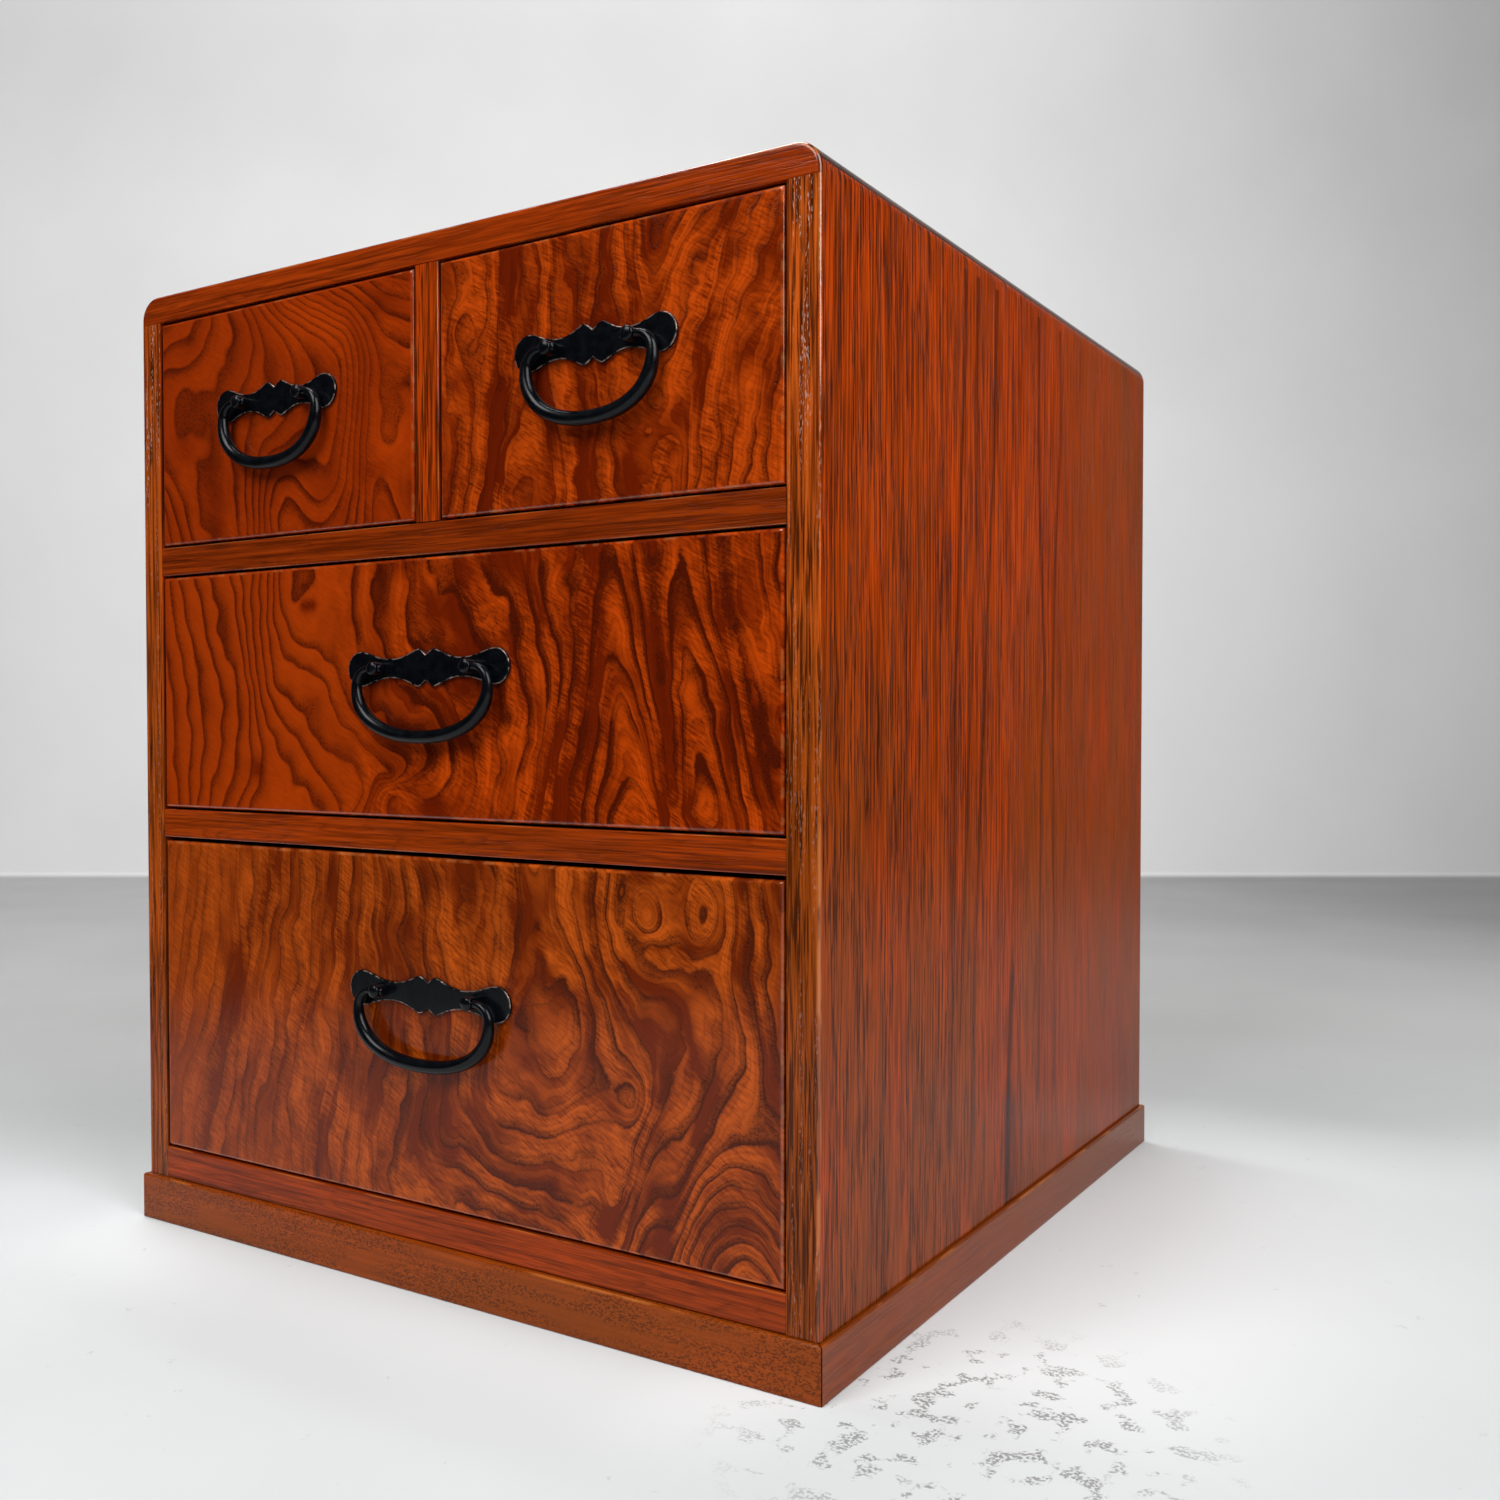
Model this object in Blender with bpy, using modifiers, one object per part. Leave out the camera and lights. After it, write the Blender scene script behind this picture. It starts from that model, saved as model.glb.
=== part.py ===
"""Small chest of four drawers in lacquered hardwood, on a low plinth, with iron drop handles.

Metres, +Z up, the front facing -Y. The origin lies at floor level under the middle of the
whole chest, handles included. Two half-width drawers stand above two full-width ones.
"""
import math

import bmesh
import bpy
from mathutils import Vector

# Case boards
TOTAL_HEIGHT = 0.416  # from the floor to the top, plinth included
CASE_WIDTH = 0.350
CASE_DEPTH = 0.355
TOP_THICKNESS = 0.012
SIDE_THICKNESS = 0.0128
BACK_THICKNESS = 0.005
SHELF_THICKNESS = 0.007
PARTITION_THICKNESS = 0.0122
RAIL_HEIGHT = 0.0124
BOTTOM_RAIL_HEIGHT = 0.014
RAIL_DEPTH = 0.040
MIDDLE_ROW_HEIGHT = 0.1044  # clear opening; the bottom row takes what the others leave
TOP_ROW_HEIGHT = 0.1004
TOP_END_RADIUS = 0.010
EDGE_RADIUS = 0.0015

# Joinery of the case
HOUSING_DEPTH = 0.004  # how far shelves and rail tongues enter the sides
TONGUE_SETBACK = 0.010  # the housing stops this far behind the front edge
REBATE_WIDTH = 0.006  # the back panel's lap on the sides
REBATE_HEIGHT = 0.005  # the back panel's lap on the top

# Plinth
PLINTH_HEIGHT = 0.020
PLINTH_OVERHANG = 0.002
PLINTH_BOARD = 0.018

# Drawer boards
FRONT_THICKNESS = 0.015
FRONT_LAP = 0.006  # front left covering the ends of the sides and bottom
DRAWER_SIDE_THICKNESS = 0.008
DRAWER_BACK_THICKNESS = 0.008
DRAWER_BOTTOM_THICKNESS = 0.005
SIDE_STEP_DOWN = 0.003  # drawer sides below the top of the front
BACK_STEP_DOWN = 0.004  # drawer back below the sides

# Handles
LARGE_PLATE_LENGTH = 0.0854
SMALL_PLATE_LENGTH = 0.0732
HANDLE_RISES = (0.0144, 0.0080, 0.0075)  # above the middle of each row's opening
HANDLE_SHIFTS = (0.0, 0.0, -0.0017)  # sideways from the middle of each row's drawers
PLATE_THICKNESS = 0.0010
LOBE_RADIUS = 0.0070
WAIST_HALF_HEIGHT = 0.0038
PEAK_HALF_HEIGHT = 0.0074
PEAK_OFFSET = 0.0042
NOTCH_HALF_HEIGHT = 0.0050
WAIST_SHARE = 0.45  # where the waist lies between the peak and the lobe
POST_INSET = 0.0181  # from the plate's end to the post
POST_RADIUS = 0.0027
POST_CROWN = 0.0029  # from the eye to the post's tip
CROWN_DROP = 0.0012
SHANK_RADIUS = 0.0016
LEG_LENGTH = 0.014
LEG_WIDTH = 0.003
LEG_THICKNESS = 0.001
BAIL_RADIUS = 0.0027
BAIL_TIP_RADIUS = 0.0015
BAIL_DROP = 0.027
BAIL_BEND = 0.007
BAIL_SHOULDER = 0.0004  # straight bar between the post and the bend
BAIL_TIP = 0.0008  # bar past the post's inner side
BAIL_FULLNESS = 2.25  # exponent of the lower curve: 2 is an ellipse
BAIL_TAPER = 0.4  # share of each half, from the post, over which the bar thickens

# Clearances
JOINT_GAP = 0.0003
RUNNING_GAP = 0.0003  # under each drawer
STOP_GAP = 0.0003  # behind each drawer
DRAWER_GAP = 0.0010  # beside each drawer
FOOT_GAP = 0.0010  # under each drawer front
HEAD_GAPS = (0.0017, 0.0010, 0.0011)  # above each row's fronts, from the bottom row up
EYE_GAP = 0.0003
SHANK_GAP = 0.0003
BAIL_GAP = 0.0004  # between the plate and the thickest part of the bail

# Facets
ROUND_STEPS = 6
EDGE_STEPS = 2
TURNED_STEPS = 16
PLATE_STEPS = 6
BEND_STEPS = 5
BOW_STEPS = 12

# Curve handles of the plate's outline, as shares of the stretch that they bend
PEAK_REACH = 0.15
WAIST_REACH = 0.50
LOBE_REACH = 0.27
ROUND_HANDLE = 0.5523  # of the radius, for a quarter circle

# Levels and faces that follow from the sizes above
INNER_HALF = CASE_WIDTH / 2 - SIDE_THICKNESS
PLATE_FACE = JOINT_GAP + PLATE_THICKNESS
EYE_STANDOFF = PLATE_FACE + BAIL_GAP + BAIL_RADIUS
HANDLE_PROJECTION = EYE_STANDOFF + max(POST_CROWN, BAIL_RADIUS)
CASE_MIDDLE = (HANDLE_PROJECTION - PLINTH_OVERHANG) / 2
CASE_FRONT = CASE_MIDDLE - CASE_DEPTH / 2
CASE_BACK = CASE_MIDDLE + CASE_DEPTH / 2
BACK_FACE = CASE_BACK - BACK_THICKNESS
DRAWER_END = BACK_FACE - STOP_GAP
TOP_UNDERSIDE = TOTAL_HEIGHT - TOP_THICKNESS
BOTTOM_FLOOR = PLINTH_HEIGHT + BOTTOM_RAIL_HEIGHT
UPPER_ROWS = MIDDLE_ROW_HEIGHT + TOP_ROW_HEIGHT + 2 * RAIL_HEIGHT
ROW_HEIGHTS = (TOP_UNDERSIDE - BOTTOM_FLOOR - UPPER_ROWS, MIDDLE_ROW_HEIGHT, TOP_ROW_HEIGHT)
FACING_OUT = (math.pi / 2, 0.0, 0.0)  # turns a flat shape's +Z to face the front

COLUMNS = {
    "full": (-INNER_HALF, INNER_HALF),
    "left": (-INNER_HALF, -PARTITION_THICKNESS / 2),
    "right": (PARTITION_THICKNESS / 2, INNER_HALF),
}
ROWS = ("bottom", "middle", "top")
# Each drawer's name, row, column and handle plate
DRAWERS = (
    ("top_left", "top", "left", SMALL_PLATE_LENGTH),
    ("top_right", "top", "right", SMALL_PLATE_LENGTH),
    ("middle", "middle", "full", LARGE_PLATE_LENGTH),
    ("bottom", "bottom", "full", LARGE_PLATE_LENGTH),
)


def row_floor(row):
    """Return the height of the surface that a row of drawers runs on, row 0 the bottom one."""
    return BOTTOM_FLOOR + sum(ROW_HEIGHTS[:row]) + row * RAIL_HEIGHT


def clear_scene():
    """Remove every object, so that the chest stands alone."""
    for thing in list(bpy.data.objects):
        bpy.data.objects.remove(thing, do_unlink=True)


def new_collection(name):
    """Return a new collection linked to the scene."""
    made = bpy.data.collections.new(name)
    bpy.context.scene.collection.children.link(made)
    return made


def new_material(name, colour, roughness, metallic):
    """Return a plain material for one kind of surface."""
    made = bpy.data.materials.new(name)
    made.use_nodes = True
    shader = made.node_tree.nodes["Principled BSDF"]
    shader.inputs["Base Color"].default_value = (*colour, 1.0)
    shader.inputs["Roughness"].default_value = roughness
    shader.inputs["Metallic"].default_value = metallic
    return made


clear_scene()
PARTS = new_collection("four_drawer_cabinet")
CUTTERS = new_collection("cutters")
FIGURED_WOOD = new_material("figured_wood", (0.33, 0.075, 0.012), 0.30, 0.0)
CASE_WOOD = new_material("case_wood", (0.27, 0.060, 0.012), 0.32, 0.0)
PALE_WOOD = new_material("pale_wood", (0.55, 0.40, 0.24), 0.65, 0.0)
BLACK_IRON = new_material("black_iron", (0.012, 0.012, 0.014), 0.38, 0.9)


def place(name, data, material, location, parent=None, rotation=(0.0, 0.0, 0.0)):
    """Return a new object of the chest, at a world location and under an optional parent."""
    made = bpy.data.objects.new(name, data)
    if material:
        data.materials.append(material)
    made.location = Vector(location)
    if parent:
        made.parent = parent
        made.location -= parent.location
    made.rotation_euler = rotation
    PARTS.objects.link(made)
    return made


def as_cutter(shape):
    """Move an object to the cutters, where it shapes others and isn't a piece itself."""
    PARTS.objects.unlink(shape)
    CUTTERS.objects.link(shape)
    shape.hide_render = True
    shape.display_type = 'WIRE'
    return shape


def combine(target, shape, operation):
    """Cut a shape from a piece, or join it on, with operation DIFFERENCE or UNION."""
    step = target.modifiers.new(shape.name, 'BOOLEAN')
    step.operation = operation
    step.solver = 'EXACT'
    step.object = shape


def box_mesh(name, size, roundings=()):
    """Return a box around its origin. Each rounding is (edge picker, radius, steps)."""
    bm = bmesh.new()
    bmesh.ops.create_cube(bm, size=1.0)
    bmesh.ops.scale(bm, vec=size, verts=bm.verts)
    for picker, radius, steps in roundings:
        picked = [edge for edge in bm.edges if picker(*(vert.co for vert in edge.verts))]
        bmesh.ops.bevel(bm, geom=picked, offset=radius, segments=steps, profile=0.5, affect='EDGES')
    mesh = bpy.data.meshes.new(name)
    bm.to_mesh(mesh)
    bm.free()
    return mesh


def board(name, low, high, material=None, parent=None, roundings=()):
    """Return a board between two opposite corners given in world metres."""
    low, high = Vector(low), Vector(high)
    return place(name, box_mesh(name, high - low, roundings), material, (low + high) / 2, parent)


def cut_box(target, low, high, parent=None):
    """Cut a box between two opposite corners out of a piece."""
    shape = as_cutter(board(f"{target.name}_cut_{len(target.modifiers)}", low, high, parent=parent))
    combine(target, shape, 'DIFFERENCE')


def cut_bore(target, centre, radius, length, rotation, parent=None):
    """Cut a round hole out of a piece, its axis the turned Z axis."""
    bm = bmesh.new()
    bmesh.ops.create_cone(bm, cap_ends=True, segments=TURNED_STEPS, depth=length,
                          radius1=radius, radius2=radius)
    mesh = bpy.data.meshes.new(target.name)
    bm.to_mesh(mesh)
    bm.free()
    shape = place(f"{target.name}_bore_{len(target.modifiers)}", mesh, None, centre, parent, rotation)
    combine(target, as_cutter(shape), 'DIFFERENCE')


def make_top():
    """Top panel with rounded ends, rebated at the back for the back panel."""
    half_width = CASE_WIDTH / 2
    half_height = TOP_THICKNESS / 2

    def upper_ends(a, b):
        return a.y * b.y < 0 and min(a.z, b.z) > 0

    def front_and_back(a, b):
        return abs(a.y + b.y) > CASE_DEPTH - EDGE_RADIUS and max(a.z, b.z) > EDGE_RADIUS - half_height

    roundings = (
        (upper_ends, TOP_END_RADIUS, ROUND_STEPS),
        (front_and_back, EDGE_RADIUS, EDGE_STEPS),
    )
    top = board("top_panel", (-half_width, CASE_FRONT, TOP_UNDERSIDE), (half_width, CASE_BACK, TOTAL_HEIGHT),
                CASE_WOOD, roundings=roundings)
    lap = INNER_HALF + REBATE_WIDTH
    cut_box(top, (-lap, BACK_FACE - JOINT_GAP, TOP_UNDERSIDE - TOP_THICKNESS),
            (lap, CASE_BACK + BACK_THICKNESS, TOP_UNDERSIDE + REBATE_HEIGHT))


def make_side(name, hand):
    """Side panel with stopped housings for the rails and shelves; hand is -1 left, 1 right."""
    def outer_corners(a, b):
        outside = min(a.x * hand, b.x * hand) > 0
        return outside and a.z * b.z < 0

    low_x, high_x = sorted((hand * INNER_HALF, hand * CASE_WIDTH / 2))
    side = board(name, (low_x, CASE_FRONT, PLINTH_HEIGHT + JOINT_GAP),
                 (high_x, CASE_BACK, TOP_UNDERSIDE - JOINT_GAP),
                 CASE_WOOD, roundings=((outer_corners, EDGE_RADIUS, EDGE_STEPS),))
    near, far = sorted((hand * (INNER_HALF - HOUSING_DEPTH), hand * (INNER_HALF + HOUSING_DEPTH)))
    housing_front = CASE_FRONT + TONGUE_SETBACK - JOINT_GAP
    for row in range(len(ROW_HEIGHTS)):
        cut_box(side, (near, housing_front, row_floor(row) - SHELF_THICKNESS - JOINT_GAP),
                (far, CASE_BACK + BACK_THICKNESS, row_floor(row) + JOINT_GAP))
    near, far = sorted((hand * (INNER_HALF - REBATE_WIDTH), hand * (INNER_HALF + REBATE_WIDTH)))
    cut_box(side, (near, BACK_FACE - JOINT_GAP, 0.0), (far, CASE_BACK + BACK_THICKNESS, TOTAL_HEIGHT))


def make_row_floor(row, rail_name, shelf_name, rail_height):
    """Front rail with a tongue at each end, and the shelf behind it that the drawers run on."""
    level = row_floor(row)
    reach = INNER_HALF + HOUSING_DEPTH - JOINT_GAP
    rail_back = CASE_FRONT + RAIL_DEPTH
    rail = board(rail_name, (JOINT_GAP - INNER_HALF, CASE_FRONT, level - rail_height),
                 (INNER_HALF - JOINT_GAP, rail_back, level), CASE_WOOD)
    tongue = board(f"{rail_name}_tongue", (-reach, CASE_FRONT + TONGUE_SETBACK, level - SHELF_THICKNESS),
                   (reach, rail_back - JOINT_GAP, level - JOINT_GAP))
    combine(rail, as_cutter(tongue), 'UNION')
    board(shelf_name, (-reach, rail_back + JOINT_GAP, level - SHELF_THICKNESS),
          (reach, BACK_FACE - 2 * JOINT_GAP, level), PALE_WOOD)


def make_case():
    """Top, sides, back, rails, shelves and centre partition."""
    make_top()
    make_side("side_panel_left", -1)
    make_side("side_panel_right", 1)
    lap = INNER_HALF + REBATE_WIDTH - JOINT_GAP
    board("back_panel", (-lap, BACK_FACE, PLINTH_HEIGHT + JOINT_GAP),
          (lap, CASE_BACK, TOP_UNDERSIDE + REBATE_HEIGHT - JOINT_GAP), PALE_WOOD)
    make_row_floor(0, "bottom_rail", "bottom_board", BOTTOM_RAIL_HEIGHT - JOINT_GAP)
    make_row_floor(1, "lower_rail", "lower_shelf", RAIL_HEIGHT)
    make_row_floor(2, "upper_rail", "upper_shelf", RAIL_HEIGHT)
    half = PARTITION_THICKNESS / 2
    board("centre_partition", (-half, CASE_FRONT, row_floor(2) + JOINT_GAP),
          (half, BACK_FACE - JOINT_GAP, TOP_UNDERSIDE - JOINT_GAP), CASE_WOOD)


def make_plinth():
    """Four mitred boards under the case, each a trapezoid seen from above."""
    width = CASE_WIDTH + 2 * PLINTH_OVERHANG
    depth = CASE_DEPTH + 2 * PLINTH_OVERHANG
    boards = (("plinth_front", width, depth), ("plinth_right", depth, width),
              ("plinth_back", width, depth), ("plinth_left", depth, width))
    for turn, (name, length, span) in enumerate(boards):
        outer = length / 2 - JOINT_GAP
        inner = outer - PLINTH_BOARD
        corners = ((-outer, -span / 2), (outer, -span / 2),
                   (inner, PLINTH_BOARD - span / 2), (-inner, PLINTH_BOARD - span / 2))
        outline = flat_curve(name, PLINTH_HEIGHT)
        add_polygon(outline, corners)
        centre = (0.0, CASE_MIDDLE, PLINTH_HEIGHT / 2)
        place(name, outline, CASE_WOOD, centre, rotation=(0.0, 0.0, turn * math.pi / 2))


def flat_curve(name, thickness):
    """Return an empty filled outline that is extruded to a thickness."""
    outline = bpy.data.curves.new(name, 'CURVE')
    outline.dimensions = '2D'
    outline.fill_mode = 'BOTH'
    outline.extrude = thickness / 2
    return outline


def add_polygon(outline, points):
    """Add a closed straight-sided loop to an outline."""
    loop = outline.splines.new('POLY')
    loop.points.add(len(points) - 1)
    for point, (x, y) in zip(loop.points, points):
        point.co = (x, y, 0.0, 1.0)
    loop.use_cyclic_u = True


def make_drawer(name, row_name, column, plate_length):
    """One drawer: five boards and a handle, all under an empty that slides with it."""
    row = ROWS.index(row_name)
    left, right = COLUMNS[column]
    left, right = left + DRAWER_GAP, right - DRAWER_GAP
    floor = row_floor(row)
    head = floor + ROW_HEIGHTS[row] - HEAD_GAPS[row]
    bottom_top = floor + RUNNING_GAP + DRAWER_BOTTOM_THICKNESS
    inner_left, inner_right = left + DRAWER_SIDE_THICKNESS, right - DRAWER_SIDE_THICKNESS
    shoulder = CASE_FRONT + FRONT_LAP
    inside = CASE_FRONT + FRONT_THICKNESS
    slider = place(f"{name}_drawer", None, None, ((left + right) / 2, CASE_FRONT, floor))

    def face_outline(a, b):
        return max(a.y, b.y) < EDGE_RADIUS - FRONT_THICKNESS / 2

    front = board(f"{name}_drawer_front", (left, CASE_FRONT, floor + FOOT_GAP), (right, inside, head),
                  FIGURED_WOOD, slider, ((face_outline, EDGE_RADIUS, EDGE_STEPS),))
    ends = ((left - DRAWER_GAP, inner_left + JOINT_GAP), (inner_right - JOINT_GAP, right + DRAWER_GAP))
    for low_x, high_x in ends:
        cut_box(front, (low_x, shoulder, floor), (high_x, inside + FRONT_LAP, head + FRONT_LAP), slider)
    cut_box(front, (left - DRAWER_GAP, shoulder, floor - FRONT_LAP),
            (right + DRAWER_GAP, inside + FRONT_LAP, bottom_top + JOINT_GAP), slider)

    side_top = head - SIDE_STEP_DOWN
    for hand, low, high in (("left", left, inner_left), ("right", inner_right, right)):
        board(f"{name}_drawer_side_{hand}", (low, shoulder + JOINT_GAP, bottom_top + JOINT_GAP),
              (high, DRAWER_END, side_top), PALE_WOOD, slider)
    back_face = DRAWER_END - DRAWER_BACK_THICKNESS
    board(f"{name}_drawer_back", (inner_left + JOINT_GAP, back_face, bottom_top + JOINT_GAP),
          (inner_right - JOINT_GAP, DRAWER_END, side_top - BACK_STEP_DOWN), PALE_WOOD, slider)
    board(f"{name}_drawer_bottom", (left, shoulder + JOINT_GAP, floor + RUNNING_GAP),
          (right, DRAWER_END, bottom_top), PALE_WOOD, slider)

    across = (left + right) / 2 + HANDLE_SHIFTS[row]
    height = floor + ROW_HEIGHTS[row] / 2 + HANDLE_RISES[row]
    make_handle(name, front, plate_length, across, height, slider)


def make_handle(name, front, plate_length, x, z, slider):
    """Plate, two posts and a bail on a drawer front, around a point of the front's face."""
    post_x = plate_length / 2 - POST_INSET
    plate_centre = (x, CASE_FRONT - JOINT_GAP - PLATE_THICKNESS / 2, z)
    make_plate(f"{name}_handle_plate", plate_length, post_x, plate_centre, slider)
    for hand, offset in (("left", -post_x), ("right", post_x)):
        eye = Vector((x + offset, CASE_FRONT - EYE_STANDOFF, z))
        make_post(f"{name}_handle_post_{hand}", eye, slider)
        hole = (eye.x, CASE_FRONT + FRONT_THICKNESS / 2, z)
        cut_bore(front, hole, SHANK_RADIUS + SHANK_GAP, 2 * FRONT_THICKNESS, FACING_OUT, slider)
    make_bail(f"{name}_handle_bail", post_x, (x, CASE_FRONT - EYE_STANDOFF, z), slider)


def make_plate(name, length, post_x, location, slider):
    """Bat-wing plate: a round lobe at each end, waists, and notched peaks in the middle."""
    lobe_x = length / 2 - LOBE_RADIUS
    waist_x = PEAK_OFFSET + WAIST_SHARE * (lobe_x - PEAK_OFFSET)
    rise, swell = waist_x - PEAK_OFFSET, lobe_x - waist_x
    round_reach = ROUND_HANDLE * LOBE_RADIUS
    # Each point of the upper right quarter, with its handle towards the notch and towards the end
    quarter = (
        ((0.0, NOTCH_HALF_HEIGHT), (0.0, 0.0), (0.0, 0.0)),
        ((PEAK_OFFSET, PEAK_HALF_HEIGHT), (-PEAK_OFFSET / 3, 0.0), (PEAK_REACH * rise, 0.0)),
        ((waist_x, WAIST_HALF_HEIGHT), (-WAIST_REACH * rise, 0.0), (WAIST_REACH * swell, 0.0)),
        ((lobe_x, LOBE_RADIUS), (-LOBE_REACH * swell, 0.0), (round_reach, 0.0)),
        ((length / 2, 0.0), (0.0, round_reach), (0.0, -round_reach)),
    )

    def mirrored(points, flip_x, flip_y):
        flip = Vector((flip_x, flip_y))
        return [(Vector(co) * flip, Vector(after) * flip, Vector(before) * flip)
                for co, before, after in reversed(points)]

    right_side = [tuple(map(Vector, point)) for point in quarter] + mirrored(quarter[:-1], 1, -1)
    points = right_side + mirrored(right_side[1:-1], -1, 1)
    outline = flat_curve(name, PLATE_THICKNESS)
    outline.resolution_u = PLATE_STEPS
    loop = outline.splines.new('BEZIER')
    loop.bezier_points.add(len(points) - 1)
    for point, (co, before, after) in zip(loop.bezier_points, points):
        point.co = co.to_3d()
        point.handle_left = (co + before).to_3d()
        point.handle_right = (co + after).to_3d()
    loop.use_cyclic_u = True
    hole = SHANK_RADIUS + SHANK_GAP
    turns = [step * math.tau / TURNED_STEPS for step in range(TURNED_STEPS)]
    for centre in (-post_x, post_x):
        add_polygon(outline, [(centre + hole * math.cos(turn), hole * math.sin(turn)) for turn in turns])
    place(name, outline, BLACK_IRON, location, slider, FACING_OUT)


def make_post(name, eye, slider):
    """Turned post with a cross eye, its shank through the front and its legs spread inside."""
    shoulder = PLATE_FACE + JOINT_GAP - EYE_STANDOFF
    legs = -EYE_STANDOFF - FRONT_THICKNESS - JOINT_GAP - LEG_THICKNESS / 2
    profile = (
        (0.0, POST_CROWN),
        (POST_RADIUS * math.sin(math.pi / 4), POST_CROWN - CROWN_DROP * (1 - math.cos(math.pi / 4))),
        (POST_RADIUS, POST_CROWN - CROWN_DROP),
        (POST_RADIUS, shoulder),
        (SHANK_RADIUS, shoulder),
        (SHANK_RADIUS, legs),
        (0.0, legs),
    )
    mesh = bpy.data.meshes.new(name)
    edges = [(step, step + 1) for step in range(len(profile) - 1)]
    mesh.from_pydata([(radius, 0.0, height) for radius, height in profile], edges, [])
    post = place(name, mesh, BLACK_IRON, eye, slider, FACING_OUT)
    turned = post.modifiers.new("turned", 'SCREW')
    turned.steps = TURNED_STEPS
    turned.render_steps = TURNED_STEPS
    turned.use_merge_vertices = True
    turned.merge_threshold = JOINT_GAP / 10
    half = Vector((LEG_LENGTH, LEG_THICKNESS, LEG_WIDTH)) / 2
    middle = Vector((eye.x, eye.y - legs, eye.z))
    combine(post, as_cutter(board(f"{name}_legs", middle - half, middle + half, parent=slider)), 'UNION')
    cut_bore(post, eye, BAIL_TIP_RADIUS + EYE_GAP, 4 * POST_RADIUS, (0.0, math.pi / 2, 0.0), slider)


def bail_half(post_x):
    """Return one half of the bail's centre line, from its tip in the eye down to the middle."""
    bend_x = post_x + POST_RADIUS + BAIL_SHOULDER
    side_x = bend_x + BAIL_BEND
    points = [(post_x - POST_RADIUS - BAIL_TIP, 0.0), (post_x + POST_RADIUS, 0.0)]
    for step in range(BEND_STEPS):
        turn = step / BEND_STEPS * math.pi / 2
        points.append((bend_x + BAIL_BEND * math.sin(turn), BAIL_BEND * (math.cos(turn) - 1)))
    power = 2 / BAIL_FULLNESS
    for step in range(BOW_STEPS + 1):
        turn = step / BOW_STEPS * math.pi / 2
        across = side_x * max(math.cos(turn), 0.0) ** power
        points.append((across, -BAIL_BEND - (BAIL_DROP - BAIL_BEND) * math.sin(turn) ** power))
    points[-1] = (0.0, -BAIL_DROP)
    return points


def make_bail(name, post_x, location, slider):
    """Drop bail of round bar that thickens from its tips to the middle, its origin on the hinge."""
    half = bail_half(post_x)
    lengths = [0.0]
    for (x0, y0), (x1, y1) in zip(half[1:], half[2:]):
        lengths.append(lengths[-1] + math.hypot(x1 - x0, y1 - y0))
    shares = [0.0] + [min(length / lengths[-1] / BAIL_TAPER, 1.0) for length in lengths]
    growth = BAIL_RADIUS - BAIL_TIP_RADIUS
    radii = [BAIL_TIP_RADIUS + growth * share * share * (3 - 2 * share) for share in shares]
    bar = list(zip(half, radii))
    bar += [((-x, y), radius) for (x, y), radius in reversed(bar[:-1])]

    line = bpy.data.curves.new(name, 'CURVE')
    line.dimensions = '3D'
    line.bevel_depth = BAIL_RADIUS
    line.bevel_resolution = 2
    line.use_fill_caps = True
    path = line.splines.new('POLY')
    path.points.add(len(bar) - 1)
    for point, ((x, y), radius) in zip(path.points, bar):
        point.co = (x, y, 0.0, 1.0)
        point.radius = radius / BAIL_RADIUS
    place(name, line, BLACK_IRON, location, slider, FACING_OUT)


make_case()
make_plinth()
for drawer in DRAWERS:
    make_drawer(*drawer)
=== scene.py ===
"""Visual model of a small chest of four drawers: lacquered zelkova boards and black iron handles.

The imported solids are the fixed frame. Boards, drawer fronts, handle plates, posts and bails are worked
out again as smooth numpy surfaces in the places of their solids, in metres, +Z up, the front facing -Y.
"""
import logging
import math
from dataclasses import dataclass, field, replace
from enum import Enum
from functools import cached_property
from typing import ClassVar

import bmesh
import bpy
import numpy as np
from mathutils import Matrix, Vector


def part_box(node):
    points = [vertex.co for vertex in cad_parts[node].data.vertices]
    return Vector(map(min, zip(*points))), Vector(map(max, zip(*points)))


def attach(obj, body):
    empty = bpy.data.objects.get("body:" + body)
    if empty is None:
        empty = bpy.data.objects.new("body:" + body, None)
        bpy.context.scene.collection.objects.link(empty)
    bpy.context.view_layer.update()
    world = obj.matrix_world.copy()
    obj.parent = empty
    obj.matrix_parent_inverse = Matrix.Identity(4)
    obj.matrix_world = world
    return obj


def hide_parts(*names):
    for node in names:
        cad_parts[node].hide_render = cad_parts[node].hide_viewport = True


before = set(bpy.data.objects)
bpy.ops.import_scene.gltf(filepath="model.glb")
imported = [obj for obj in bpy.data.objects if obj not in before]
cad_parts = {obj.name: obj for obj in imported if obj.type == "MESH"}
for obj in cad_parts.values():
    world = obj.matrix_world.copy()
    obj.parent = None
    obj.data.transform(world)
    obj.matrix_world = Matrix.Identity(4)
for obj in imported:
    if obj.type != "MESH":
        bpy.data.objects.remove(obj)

Array = np.ndarray
Material = bpy.types.Material
Pair = tuple[float, float]
Triple = tuple[float, float, float]
Colour = Triple
Sides = tuple[float, float, float, float]
Stops = tuple[Pair, ...]

LOG = logging.getLogger("chest")
MM = 0.001
QUARTER = math.pi / 2
SEAM = 2e-6
SLIVER = 1e-7
X_AXIS: Triple = (1.0, 0.0, 0.0)
Y_AXIS: Triple = (0.0, 1.0, 0.0)
Z_AXIS: Triple = (0.0, 0.0, 1.0)
NO_SIDES: Sides = (0.0, 0.0, 0.0, 0.0)
ALL_SIDES: Sides = (1.0, 1.0, 1.0, 1.0)
ENDS: Sides = (1.0, 1.0, 0.0, 0.0)
LONG_SIDES: Sides = (0.0, 0.0, 1.0, 1.0)


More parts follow.
